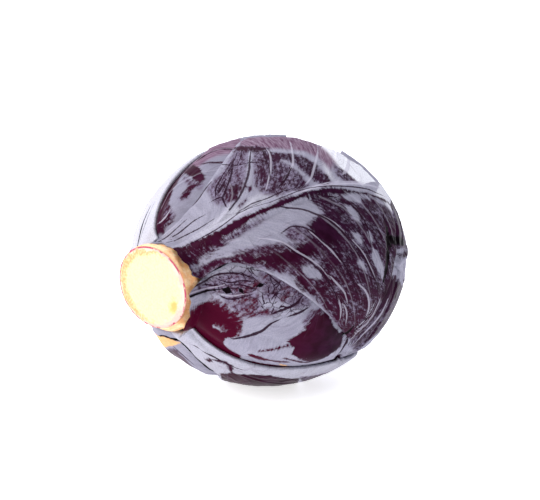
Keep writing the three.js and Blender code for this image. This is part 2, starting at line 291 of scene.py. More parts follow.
def layer_radius(direction, over, reach=REACH, fall=FALL):
    """The outside of the layer under the leaves in a list, before its veins."""
    radius = head_radius(direction)[0]
    for leaf in over:
        radius = radius - LAYER * smooth(inside_by(leaf, direction), -reach - fall, -reach)
    return radius


def leaf_place(leaf, row, sign, rib, edge):
    """A leaf's own coordinates of a grid point, and its share of the way out to the margin."""
    before = sign < 0
    base, arch = [np.where(before, leaf["before"][k], leaf["after"][k]) for k in (0, 4)]
    rib_half = leaf["rib"][0] / 2 * (1 - RIB_TAPER * np.sqrt(row)) / MM_PER_DEGREE
    near_rib = np.minimum(rib * rib_half, base * RIB_ROOM)
    at_stem = follow(leaf["bend"], leaf["start"]) + sign * (near_rib + (base - near_rib) * edge)
    first = np.degrees(np.arccos(np.cos(np.radians(leaf["start"])) / np.cos(np.radians(at_stem))))
    arched = row + arch * edge**0.6 * np.sin(np.pi * row**0.75)
    along = first + (last_row(leaf) - first) * arched
    width = half_width(leaf, before, along)
    near_rib = np.minimum(rib * rib_half, width * RIB_ROOM)
    offset = near_rib + (width - near_rib) * edge
    across = follow(leaf["bend"], along) + sign * offset
    return along, across, offset / width


def side_veins(leaf):
    """The main side veins, as lines in the leaf's own degrees along and across."""
    lines = []
    for sign in (-1, 1):
        for i in range(VEIN_COUNT):
            row = FIRST_VEIN + VEIN_SPACING * i
            edge = np.linspace(0, VEIN_REACH, VEIN_POINTS)
            wander = VEIN_WANDER * np.sin(edge * 9 + i * 2 + sign)
            along, across, _ = leaf_place(leaf, np.clip(row + wander * edge, 0, 1), sign, 1, edge)
            lines.append(np.stack([along, across], -1))
    return lines


def branch_veins(veins, seed):
    """Smaller veins that leave the side veins at slant angles, in the same degrees."""
    random = np.random.default_rng(seed)
    lines = []
    for line in veins:
        for share in np.arange(0.12, 0.95, BRANCH_SPACING):
            share = share + random.uniform(-0.03, 0.03)
            spot = share * (len(line) - 1)
            k = int(spot)
            heading = line[min(k + 1, len(line) - 1)] - line[k]
            start = line[k] + heading * (spot - k)
            heading = heading / (np.linalg.norm(heading) + 1e-9)
            side = random.choice([-1, 1])
            turn = side * np.radians(random.uniform(*BRANCH_SLANT))
            step = random.uniform(*BRANCH_DEGREES) * (1 - 0.5 * share) / BRANCH_POINTS
            points = [start]
            for _ in range(BRANCH_POINTS):
                turned = np.array([
                    heading[0] * np.cos(turn) - heading[1] * np.sin(turn),
                    heading[0] * np.sin(turn) + heading[1] * np.cos(turn)])
                points.append(points[-1] + turned * step)
                turn -= side * random.uniform(0.02, 0.2)
            lines.append(np.array(points))
    return lines


def on_head(pixels, depth):
    """Directions of places in the 540 x 500 photograph, where its rays meet the head at a depth.
    A ray that passes the outline gives a place that much further round."""
    level_right = np.array([-level[1], level[0], 0])
    focal = LENS / SENSOR_WIDTH * PHOTO[0]
    offset = (np.asarray(pixels, float) - np.array(PHOTO) / 2) / focal
    ray = offset[:, :1] * level_right - offset[:, 1:] * frame_up - away
    half = HEAD_HALF - depth
    start = eye / half
    step = ray / half
    a = (step * step).sum(1)
    b = step @ start
    inside = b * b - a * (start @ start - 1)
    root = np.sign(inside) * np.sqrt(np.abs(inside))
    hit = eye + ray * ((-b - root) / a)[:, None]
    return hit / np.linalg.norm(hit, axis=1, keepdims=True)


def rounded(spots, steps=4):
    """A line through the spots with its corners rounded off."""
    ends = np.concatenate([2 * spots[:1] - spots[1:2], spots, 2 * spots[-1:] - spots[-2:-1]])
    line = []
    for a, b, c, d in zip(ends, ends[1:], ends[2:], ends[3:]):
        for t in np.arange(steps) / steps:
            line.append(0.5 * (2 * b + (c - a) * t + (2 * a - 5 * b + 4 * c - d) * t**2
                + (3 * b - a - 3 * c + d) * t**3))
    return np.array(line + [spots[-1]])


def to_line(points, spots):
    """Signed distance in millimetres from points on the sphere to a line, and the share along it."""
    line = SPHERE * spots
    nearest = np.full(len(points), FAR)
    share = np.zeros(len(points))
    middle = line.mean(0)
    reach = np.linalg.norm(line - middle, axis=1).max() + MARK_REACH
    chosen = np.nonzero(np.linalg.norm(points - middle, axis=1) < reach)[0]
    near = points[chosen]
    for k in range(len(line) - 1):
        step = line[k + 1] - line[k]
        offset = near - line[k]
        t = np.clip(offset @ step / (step @ step + 1e-9), 0, 1)
        gap = np.linalg.norm(offset - t[:, None] * step, axis=1)
        side = np.sign(np.cross(step, offset) @ line[k] + 1e-9)
        better = gap < np.abs(nearest[chosen])
        nearest[chosen[better]] = (gap * side)[better]
        share[chosen[better]] = ((k + t) / (len(line) - 1))[better]
    return nearest, share


def inside_area(points, spots):
    """How far inside a closed outline each point is, in millimetres, negative outside it."""
    middle = spots.mean(0) / np.linalg.norm(spots.mean(0))
    one = np.cross(middle, [0, 0, 1])
    one = one / np.linalg.norm(one)
    other = np.cross(middle, one)
    u, v = points @ one, points @ other
    corners = SPHERE * np.stack([spots @ one, spots @ other], -1)
    odd = np.zeros(len(points), bool)
    for (a, b), (c, d) in zip(corners, np.roll(corners, -1, axis=0)):
        crosses = (b > v) != (d > v)
        odd ^= crosses & (u < (c - a) * (v - b) / (d - b + 1e-12) + a)
    odd &= points @ middle > 0
    gap = np.abs(to_line(points, np.concatenate([spots, spots[:1]]))[0])
    return np.where(odd, gap, -gap)


def draw_marks(leaf, points, marks):
    """The leaf's marks as numbers for the shader, and the relief that goes with them."""
    count = len(points)
    own = {key: leaf.get(key, value) for key, value in UNMARKED.items()}
    numbers = {key: np.full(count, value) for key, value in own.items()}
    relief = np.zeros(count)
    lines = {tone: np.tile(NO_LINE, (count, 1)) for tone in ("black", "dark", "pale")}
    nearest = np.full(count, FAR)
    for kind, size, pixels in marks.values():
        spots = on_head(pixels, leaf.get("depth", 0))
        if size == 0 or kind == "worn" or kind in AREAS:
            inner = inside_area(points, spots)
        else:
            distance, share = to_line(points, rounded(spots))
            inner = size - np.abs(distance)
        if kind == "bare":
            numbers["bloom"] = np.minimum(numbers["bloom"], -inner)
        elif kind == "bloom":
            numbers["bloom"] = np.maximum(numbers["bloom"], inner)
        if kind in LESS_WORN:
            numbers["worn"] = numbers["worn"] * (1 - LESS_WORN[kind] * smooth(inner, -CRISP_EDGE, CRISP_EDGE))
        elif kind == "cork":
            numbers["cork"] = np.maximum(numbers["cork"], inner)
        elif kind == "worn":
            amount = smooth(inner, -WORN_EDGE, WORN_EDGE)
            capped = np.minimum(numbers["bloom"], size)
            numbers["bloom"] = numbers["bloom"] + (capped - numbers["bloom"]) * amount
            numbers["worn"] = np.maximum(numbers["worn"], amount)
        elif kind in AREAS:
            key, level_there = AREAS[kind]
            amount = smooth(inner, -SOFT_EDGE, SOFT_EDGE) * size
            numbers[key] = numbers[key] + (level_there - numbers[key]) * amount
        else:
            tone, strength, height = LINES[kind]
            taper = size * (0.6 + 0.8 * np.sin(np.pi * np.clip(share * 0.9 + 0.1, 0, 1)))
            window = smooth(np.abs(distance), LINE_REACH, LINE_FADE) * strength
            closer = np.abs(distance) - taper < np.abs(lines[tone][:, 0]) - lines[tone][:, 2]
            drawn = np.stack([distance, window, taper], -1)
            lines[tone][closer] = drawn[closer]
            ridge = height * np.exp(-((distance / (size + LINE_BLUR)) ** 2)) * smooth(share, 0, 0.1)
            relief = relief + ridge * (1 - 0.6 * share)
            if kind == "vein":
                nearest = np.minimum(nearest, np.abs(distance))
    unseen = smooth(-(points @ away) / SPHERE, *UNSEEN_FROM)
    # The unseen side keeps the leaf's own tone, its painted light or shade.
    for key, there in {**UNSEEN_SIDE, "tone": own["tone"]}.items():
        numbers[key] = numbers[key] + (there - numbers[key]) * unseen
    return numbers, relief, lines, nearest


def nearest_vein(points, leaf, veins):
    """Signed distance to the nearest of a leaf's veins, and the share along that vein."""
    nearest = np.full(len(points), FAR)
    along = np.zeros(len(points))
    for line in veins:
        distance, share = to_line(points, leaf_direction(leaf, line[:, 0], line[:, 1]))
        closer = np.abs(distance) < np.abs(nearest)
        nearest[closer] = distance[closer]
        along[closer] = share[closer]
    return nearest, along


def mesh_object(name, points, faces, material, numbers, vectors):
    """A smooth mesh of the points in millimetres, with its named numbers for the shader."""
    mesh = bpy.data.meshes.new(name)
    mesh.from_pydata((MM * (points + HEAD_CENTRE)).tolist(), [], faces)
    mesh.polygons.foreach_set("use_smooth", np.ones(len(faces), bool))
    for key, value in numbers.items():
        mesh.attributes.new(key, "FLOAT", "POINT").data.foreach_set("value", value.astype(np.float32))
    for key, value in vectors.items():
        layer = mesh.attributes.new(key, "FLOAT_VECTOR", "POINT")
        layer.data.foreach_set("vector", value.astype(np.float32).ravel())
    mesh.materials.append(material)
    mesh.update()
    piece = bpy.data.objects.new(name, mesh)
    bpy.context.scene.collection.objects.link(piece)
    return piece


def sheet_faces(rows, columns):
    """Quads of a closed sheet: its outer face, its inner face and the rim between them."""
    count = rows * columns
    at = np.arange(count).reshape(rows, columns)
    quads = np.stack([at[:-1, :-1], at[:-1, 1:], at[1:, 1:], at[1:, :-1]], -1).reshape(-1, 4)
    loop = np.concatenate([at[0, :-1], at[:-1, -1], at[-1, :0:-1], at[:0:-1, 0]])
    after = np.roll(loop, -1)
    rim = np.stack([after, loop, loop + count, after + count], -1)
    return np.concatenate([quads, quads[:, ::-1] + count, rim]).tolist()


def foot_rows(leaf, face, share, sign, standing):
    """Rows of points where the foot of a leaf runs out along the stem, from one face's first row."""
    length, before, after = leaf["foot"]
    taper = 1 - np.where(sign < 0, smooth(share, before - 0.4, before), smooth(share, after - 0.4, after))
    ragged = 1 + 0.1 * np.sin(9 * sign * share) + 0.06 * np.sin(23 * sign * share + 1)
    reach = length * taper * ragged
    radius = np.linalg.norm(face[:, 1:], axis=1)
    out = np.linspace(1, 0, FOOT_ROWS + 1)[:-1, None]
    near = radius + (FOOT_RADIUS + standing - radius) * smooth(out, 0, 0.8) * taper
    return np.stack([face[:, 0] - reach * out, face[:, 1] * near / radius, face[:, 2] * near / radius], -1)


def build_leaf(name, leaf, marks, seed, material, rows=170, columns=56):
    """A leaf as one closed sheet, with its foot, midrib, veins, waved margin and bloom."""
    row = (np.linspace(0, 1, rows) ** 1.1)[:, None]
    rib_steps = np.linspace(0, 1, RIB_COLUMNS + 1)[1:]
    edge_steps = np.linspace(0, 1, columns + 1)[1:]
    rib_side = np.concatenate([rib_steps, np.ones(columns)])
    edge_side = np.concatenate([np.zeros(RIB_COLUMNS), edge_steps])
    rib = np.concatenate([rib_side[::-1], [0], rib_side])[None]
    edge = np.concatenate([edge_side[::-1], [0], edge_side])[None]
    sign = np.concatenate([-np.ones(len(rib_side)), [1], np.ones(len(rib_side))])[None]
    along, across, share = leaf_place(leaf, row, sign, rib, edge)
    share = share + 0 * row
    direction = leaf_direction(leaf, along, across)
    layer = layer_radius(direction, laid)
    # Veins and loose margins stand up only where no leaf lies over them and the floor doesn't press
    free = 1 - smooth(head_radius(direction)[1], 0, PRESSED_FLAT)
    for upper in laid:
        free = free * (1 - smooth(inside_by(upper, direction), -REACH - BARED_OVER, 0))
    profile = np.where(edge > 0, 0, np.cos(np.pi / 2 * rib) ** 0.8) + 0 * row
    spots = direction
    if "foot" in leaf:
        foot = foot_rows(leaf, direction[0] * layer[0, :, None], share[0], sign[0], BLADE)
        spots = np.concatenate([foot / np.linalg.norm(foot, axis=-1, keepdims=True), direction])
    shape = spots.shape[:2]
    extra = shape[0] - rows

    # What is drawn on it: the marks, its own side veins and their threads
    on_sphere = SPHERE * spots.reshape(-1, 3)
    numbers, drawn, lines, marked = draw_marks(leaf, on_sphere, marks)
    veins = side_veins(leaf)
    main, main_share = nearest_vein(on_sphere, leaf, veins)
    small = nearest_vein(on_sphere, leaf, branch_veins(veins, seed))[0]
    unmarked = smooth(marked, *MARK_ROOM) * leaf.get("veining", 1)
    vein_relief = leaf["vein"] * np.exp(-((main / VEIN_WIDTH) ** 2)) * (1 - 0.75 * main_share) * unmarked
    thread_relief = THREAD_HEIGHT * np.exp(-((small / THREAD_WIDTH) ** 2))
    closest = np.minimum(np.abs(main) + NOT_VEINED * (1 - unmarked), marked)
    pillow = PILLOW_HEIGHT * smooth(closest, 0.5, PILLOW_REACH)
    veining = (vein_relief + thread_relief + pillow).reshape(shape)[extra:]

    # The outer and inner face of the sheet
    off_rib = (1 - profile) * smooth(row, 0.02, 0.12) * (1 - smooth(share, 0.93, 1))
    fade = (1 - 0.7 * row) * (1 - smooth(row, 0.85, 1))
    relief = leaf["rib"][1] * profile * fade + drawn.reshape(shape)[extra:] + veining * off_rib
    waving = leaf["wave"] * np.sin(2 * np.pi * WAVES * row + leaf["middle"] + sign)
    waving = waving + RIPPLE_SHARE * leaf["wave"] * np.sin(2 * np.pi * RIPPLES * row + 2 * sign)
    margin = share**4 * smooth(row, 0, WAVES_FROM_ROW)
    raised = np.maximum(leaf["lift"] * np.sin(np.pi * row**0.6) + waving, 0) * margin * free
    thickness = leaf["seat"] if "seat" in leaf else BLADE + (leaf["margin"] - BLADE) * share * share
    outer = direction * (layer + raised + relief * free)[..., None]
    inner = direction * (layer + raised - thickness)[..., None]
    row_mm = MM_PER_DEGREE * (leaf["tip"] - leaf["start"]) * row + 0 * share
    if extra:
        standing = BLADE + 0.6 * leaf["rib"][1] * profile[0]
        outer = np.concatenate([foot_rows(leaf, outer[0], share[0], sign[0], standing), outer])
        inner = np.concatenate([foot_rows(leaf, inner[0], share[0], sign[0], 0), inner])
        foot_mm = np.linspace(-leaf["foot"][0], 0, extra + 1)[:-1, None] + 0 * share[:extra]
        row_mm = np.concatenate([foot_mm, row_mm])
    points = np.concatenate([outer.reshape(-1, 3), inner.reshape(-1, 3)])
    points[:, 2] = np.maximum(points[:, 2], -REST_HEIGHT)

    # Where each point lies on the leaf laid flat, and along the veins, for the shader's patterns
    ribward, sideward = round_stem(leaf["middle"])
    up_leaf = np.arctan2(spots @ ribward, spots @ stemward)
    up_leaf = np.where(up_leaf < BEHIND_STEM, up_leaf + 2 * np.pi, up_leaf)
    aside = np.arcsin(np.clip(spots @ sideward, -1, 1))
    leaf_mm = SPHERE * np.stack([aside, up_leaf * np.cos(aside), 0 * aside], -1).reshape(-1, 3)
    numbers["wine"] = leaf.get("wine", WINE_SKIN) * smooth(leaf_mm[:, 1], WINE_TO, WINE_FROM)
    near_main = smooth(np.abs(main), LINE_REACH, LINE_FADE) * unmarked
    near_small = smooth(np.abs(small), LINE_REACH, LINE_FADE)
    vectors = {
        "leaf_mm": leaf_mm, "vein_mm": np.stack([row_mm.ravel(), leaf_mm[:, 0], 0 * leaf_mm[:, 0]], -1),
        "black_line": lines["black"], "dark_line": lines["dark"], "pale_line": lines["pale"],
        "side_vein": np.stack([main, near_main, VEIN_DRAWN - VEIN_THINS * main_share], -1),
        "thread_vein": np.stack([small, near_small, np.full(len(small), THREAD_DRAWN)], -1),
    }
    numbers = {key: np.tile(value, 2) for key, value in numbers.items()}
    vectors = {key: np.tile(value, (2, 1)) for key, value in vectors.items()}
    return mesh_object(name, points, sheet_faces(*shape), material, numbers, vectors)


# The skin of a living leaf, grown under its own wax. The eye sees a matt grey lilac bloom that
# breaks off in crisp patches, and darker wine or plum skin with a low sheen where it is gone. The
# IOR is a plant wax's. The patterns' sizes are in millimetres on the leaf, and the pores, too fine
# to show, are drawn five times too coarse.
BLOTCH = 9.1
FLECK = 2
SPECK = 0.59
STREAK = (1.43, 9.1)
CRACKLE_CELL = (3.33, 5)
CRACKLE_BEND = (0.7, 0.7, 0)
PORE = 0.455
PORE_DEPTH = 0.3
# How wide the edge of the bloom fades, where it is crisp and by how much more where it is worn
CRISP_FADE = 0.12
WORN_FADE = 2.2
# How much of the bloom's straying the edge of the cork has
CORK_STRAY = 0.15
# Of a drawn line: how ragged the flecks make it, and from where to where its side fades
LINE_RAGGED = 0.9
LINE_SIDE = (0.62, 0.22)
# How far each pattern lets the bloom's edge stray, in millimetres
STRAY = {"blotches": 11, "flecks": 9, "streaks": 10, "specks": 5}
waxed_leaf, tree = new_material("waxed_red_cabbage_leaf")
place = add(tree, "Attribute", {}, "Vector", attribute_name="leaf_mm")
on_veins = add(tree, "Attribute", {}, "Vector", attribute_name="vein_mm")
drawn_out = add(tree, "VectorMath", {0: on_veins, 1: (1 / STREAK[0], 1 / STREAK[1], 1)},
    operation="MULTIPLY")
noise = {}
for name, spot, scale, detail, roughness in (
    ("blotches", place, 1 / BLOTCH, 5, 0.62), ("flecks", place, 1 / FLECK, 5, 0.68),
    ("specks", place, 1 / SPECK, 3, 0.6), ("streaks", drawn_out, 1, 4, 0.62),
    ("pores", place, 1 / PORE, 3, 0.5),
):
    noise[name] = add(tree, "TexNoise", {"Vector": spot, "Scale": scale, "Detail": detail,
        "Roughness": roughness})
carried = {}
for name in ("bloom", "worn", "tone", "painted_reflection", "wine", "crackle", "cork"):
    carried[name] = add(tree, "Attribute", {}, "Fac", attribute_name=name)
uneven = -sum(STRAY.values()) / 2
for name, stray in STRAY.items():
    uneven = add(tree, "Math", {0: noise[name], 1: stray, 2: uneven}, operation="MULTIPLY_ADD")
edge = add(tree, "Math", {0: uneven, 1: carried["worn"], 2: carried["bloom"]}, operation="MULTIPLY_ADD")
softness = add(tree, "Math", {0: carried["worn"], 1: WORN_FADE, 2: CRISP_FADE},
    operation="MULTIPLY_ADD")
bloom_left = add(tree, "Math", {0: edge, 1: softness}, operation="DIVIDE")
corky = add(tree, "Math", {0: uneven, 1: CORK_STRAY, 2: carried["cork"]},
    operation="MULTIPLY_ADD")
flat_cells = add(tree, "VectorMath", {0: place, 1: (1 / CRACKLE_CELL[0], 1 / CRACKLE_CELL[1], 1)},
    operation="MULTIPLY")
bent_cells = add(tree, "VectorMath", {0: noise["flecks"], 1: CRACKLE_BEND, 2: flat_cells},
    operation="MULTIPLY_ADD")
to_crack = add(tree, "TexVoronoi", {"Vector": bent_cells, "Scale": 1}, "Distance",
    feature="DISTANCE_TO_EDGE")
# How much of each finish a point has: the value that it follows, from where to where, and the most
spread = {}
for name, value, low, high, most in (
    ("blotchy", noise["blotches"], 0.35, 0.65, 1), ("streaky", noise["streaks"], 0.35, 0.65, 1),
    ("flecky", noise["flecks"], 0.35, 0.65, 1), ("pale blotches", noise["blotches"], 0.35, 0.65, 0.4),
    ("specked", noise["specks"], 0.42, 0.72, 0.5), ("painted_light_share", carried["tone"], 0, 1, 1),
    ("painted_shade_share", carried["tone"], 0, -1, 1), ("thinned", carried["worn"], 0.35, 1, 0.85),
    ("bloom", bloom_left, -1, 1, 1), ("cork", corky, -0.5, 0.5, 1),
    ("cracked", to_crack, 0.055, 0.012, 1), ("crackled", noise["blotches"], 0.36, 0.5, 1),
):
    spread[name] = add(tree, "MapRange", {"Value": value, "From Min": low, "From Max": high,
        "To Max": most}, interpolation_type="SMOOTHSTEP")
for also in (spread["crackled"], carried["crackle"]):
    spread["cracked"] = add(tree, "Math", {0: spread["cracked"], 1: also}, operation="MULTIPLY")
# Lines lie where a point's distance to one is under its half width, with edges ragged by the flecks
for name, strength in (("thread_vein", 0.22), ("side_vein", 0.22), ("pale_line", 1), ("dark_line", 1),
        ("black_line", 1)):
    nearest = add(tree, "Attribute", {}, "Vector", attribute_name=name)
    distance, shown, half = add(tree, "SeparateXYZ", {0: nearest}).node.outputs
    distance = add(tree, "Math", {0: distance}, operation="ABSOLUTE")
    beyond = add(tree, "Math", {0: distance, 1: half}, operation="SUBTRACT")
    beyond = add(tree, "Math", {0: noise["flecks"], 1: LINE_RAGGED, 2: beyond},
        operation="MULTIPLY_ADD")
    on_line = add(tree, "MapRange", {"Value": beyond, "From Min": LINE_SIDE[0],
        "From Max": LINE_SIDE[1], "To Max": strength}, interpolation_type="SMOOTHSTEP")
    spread[name] = add(tree, "Math", {0: on_line, 1: shown}, operation="MULTIPLY")
# The coats one over another: each goes over the coat or colour before it, by its share. The whitened wax is
# painted light and the greyed wax painted shade, the mauve coat is a painted reflection of a soft box, the
# pale drawn lines that are no veins are painted highlights, and the black lines are painted shade in cracks
# and gaps.
coats = {}
for name, share, under, over in (
    ("plum", spread["blotchy"], "#30122a", "#1f0819"), ("skin", carried["wine"], "plum", "#43061f"),
    ("wax", spread["streaky"], "#8a8796", "#9a97a8"), ("wax", spread["pale blotches"], "wax", "#aaa8b7"),
    ("wax", spread["painted_light_share"], "wax", "#efeef5"), ("wax", spread["painted_shade_share"], "wax", "#6b6777"),
    ("wax", spread["specked"], "wax", "#706a7e"), ("painted_reflection", spread["streaky"], "#5a3850", "#8c7689"),
    ("wax", carried["painted_reflection"], "wax", "painted_reflection"), ("thin wax", spread["flecky"], "#3c2036", "#7f748d"),
    ("wax", spread["thinned"], "wax", "thin wax"), ("leaf", spread["bloom"], "skin", "wax"),
    ("leaf", spread["thread_vein"], "leaf", "#44293f"), ("leaf", spread["side_vein"], "leaf", "#b9b4c4"),
    ("leaf", spread["cracked"], "leaf", "#240a1d"), ("leaf", spread["pale_line"], "leaf", "#b9b4c4"),
    ("leaf", spread["dark_line"], "leaf", "#240a1d"), ("leaf", spread["black_line"], "leaf", "#0b0409"),
    ("tan cork", noise["flecks"], "#c07d48", "#fbd09a"), ("leaf", spread["cork"], "leaf", "tan cork"),
):
    pair = [coats[colour] if colour in coats else linear(colour) for colour in (under, over)]
    coats[name] = add(tree, "Mix", {0: share, 6: pair[0], 7: pair[1]}, 2, data_type="RGBA")
roughness = add(tree, "MapRange", {"Value": spread["bloom"], "To Min": 0.3, "To Max": 0.55},
    interpolation_type="SMOOTHSTEP")
dimples = add(tree, "Bump", {"Height": noise["pores"], "Strength": 0.12, "Distance": MM * PORE_DEPTH})
skin = add(tree, "BsdfPrincipled", {"Base Color": coats["leaf"], "Roughness": roughness, "IOR": 1.45,
    "Specular IOR Level": 0.02, "Normal": dimples})
add(tree, "OutputMaterial", {"Surface": skin})

# Of each leaf: the angle round the stem that its midrib is at, where it starts and ends and where its
# tip starts to round, in degrees from the stem's end; for the side before the midrib and the one
# after it, the half width at the base and at the widest, from where to where it widens, and how much
# its rows arch; how the midrib bends; the midrib's width and height; how high the veins and the
# loose margin stand, and how thick it is; and the foot's length and its share of either side. Depth
# is how far under the head's outside its marks lie.
# A leaf's tone is painted light where it is above nought, whitening its bloom, and painted shade where it is
# below nought, greying it.
top_front = {
    "middle": 44, "start": 19, "tip": 122, "round": 79,
    "before": (14, 50, 16, 80, 0.34), "after": (11, 68, 27, 70, 0.31),
    "bend": [(20, -4), (37, -2), (60, -1), (83, 1), (95, 3), (109, 5), (126, 6)],
    "rib": (15, 3.2), "vein": 0.8, "lift": 0.8, "wave": 0.3, "foot": (5.5, 1, 1.15),
    "margin": 1.6,
}
# The marks are what the photograph shows on the leaf, each by its kind, its size in millimetres or 0
# for a closed outline, and its places in the photograph. These run on over the leaf's margin, onto
# the leaves that lie under it there.
right_edge_marks = {
    "dark lower side": ("worn", -1.0, [(386, 274), (402, 270), (408, 282), (400, 298), (386, 316),
        (370, 334), (352, 350), (346, 344), (360, 328), (374, 310), (382, 294)]),
    "pale limb": ("bloom", 0, [(398, 214), (408, 228), (416, 246), (417, 262), (410, 284), (400, 302),
        (386, 320), (384, 317), (397, 299), (406, 280), (410, 262), (410, 246), (404, 230), (396, 217)]),
    # Painted rim light: the bloom whitened along the right limb, where light from behind grazes it.
    "painted rim light on the limb": ("frost", 0.65, [(370, 170), (388, 190), (402, 208), (413, 230), (417, 256), (411, 276),
        (404, 292), (401, 290), (406, 272), (407, 252), (401, 232), (390, 212), (374, 194)]),
    "pale patch past the crack": ("bloom", 0, [(392, 249), (401, 247), (404, 262), (401, 275), (397, 286),
        (393, 277), (391, 262)]),
    "patch's dark mark": ("bare", 0.9, [(394, 251), (398, 256), (402, 252)]),
    "striped edge": ("worn", 1.2, [(374, 300), (386, 299), (392, 292), (393, 304), (382, 320), (368, 335),
        (352, 347), (346, 338), (358, 323), (368, 310)]),
    "first stripe": ("dark_line", 0.4, [(382, 298), (374, 314), (362, 329), (348, 342)]),
    "second stripe": ("dark_line", 0.35, [(376, 300), (368, 315), (357, 328), (345, 338)]),
    "third stripe": ("dark_line", 0.35, [(388, 297), (380, 313), (369, 327), (355, 341)]),
    "fourth stripe": ("dark_line", 0.3, [(371, 306), (364, 318), (354, 328)]),
    "fifth stripe": ("dark_line", 0.4, [(393, 296), (386, 312), (374, 328), (360, 343)]),
    "first pale stripe": ("pale_line", 0.5, [(385, 298), (377, 314), (365, 329), (352, 342)]),
    "second pale stripe": ("pale_line", 0.5, [(379, 299), (371, 315), (360, 328), (347, 340)]),
    "third pale stripe": ("pale_line", 0.5, [(373, 304), (366, 316), (356, 327)]),
    "dark corner": ("bare", 1.6, [(340, 334), (346, 331), (352, 327)]),
    "corner crack": ("crack", 0.7, [(341, 335), (348, 331), (353, 326)]),
    "line over the crack": ("dark_line", 0.7, [(383, 216), (385, 224), (387, 234)]),
    "long crack": ("crack", 1.3, [(387, 228), (388, 242), (388, 256), (386, 269), (383, 281)]),
    "torn gap": ("crack", 2.6, [(388, 237), (393, 240), (400, 243)]),
    "gap's foot": ("crack", 2.4, [(389, 235), (391, 245)]),
    "dark right edge": ("bare", 0, [(384, 276), (390, 274), (396, 288), (390, 300), (380, 303), (378, 295)]),
    "limb line": ("dark_line", 0.8, [(403, 248), (404, 262), (402, 277), (397, 290)]),
}
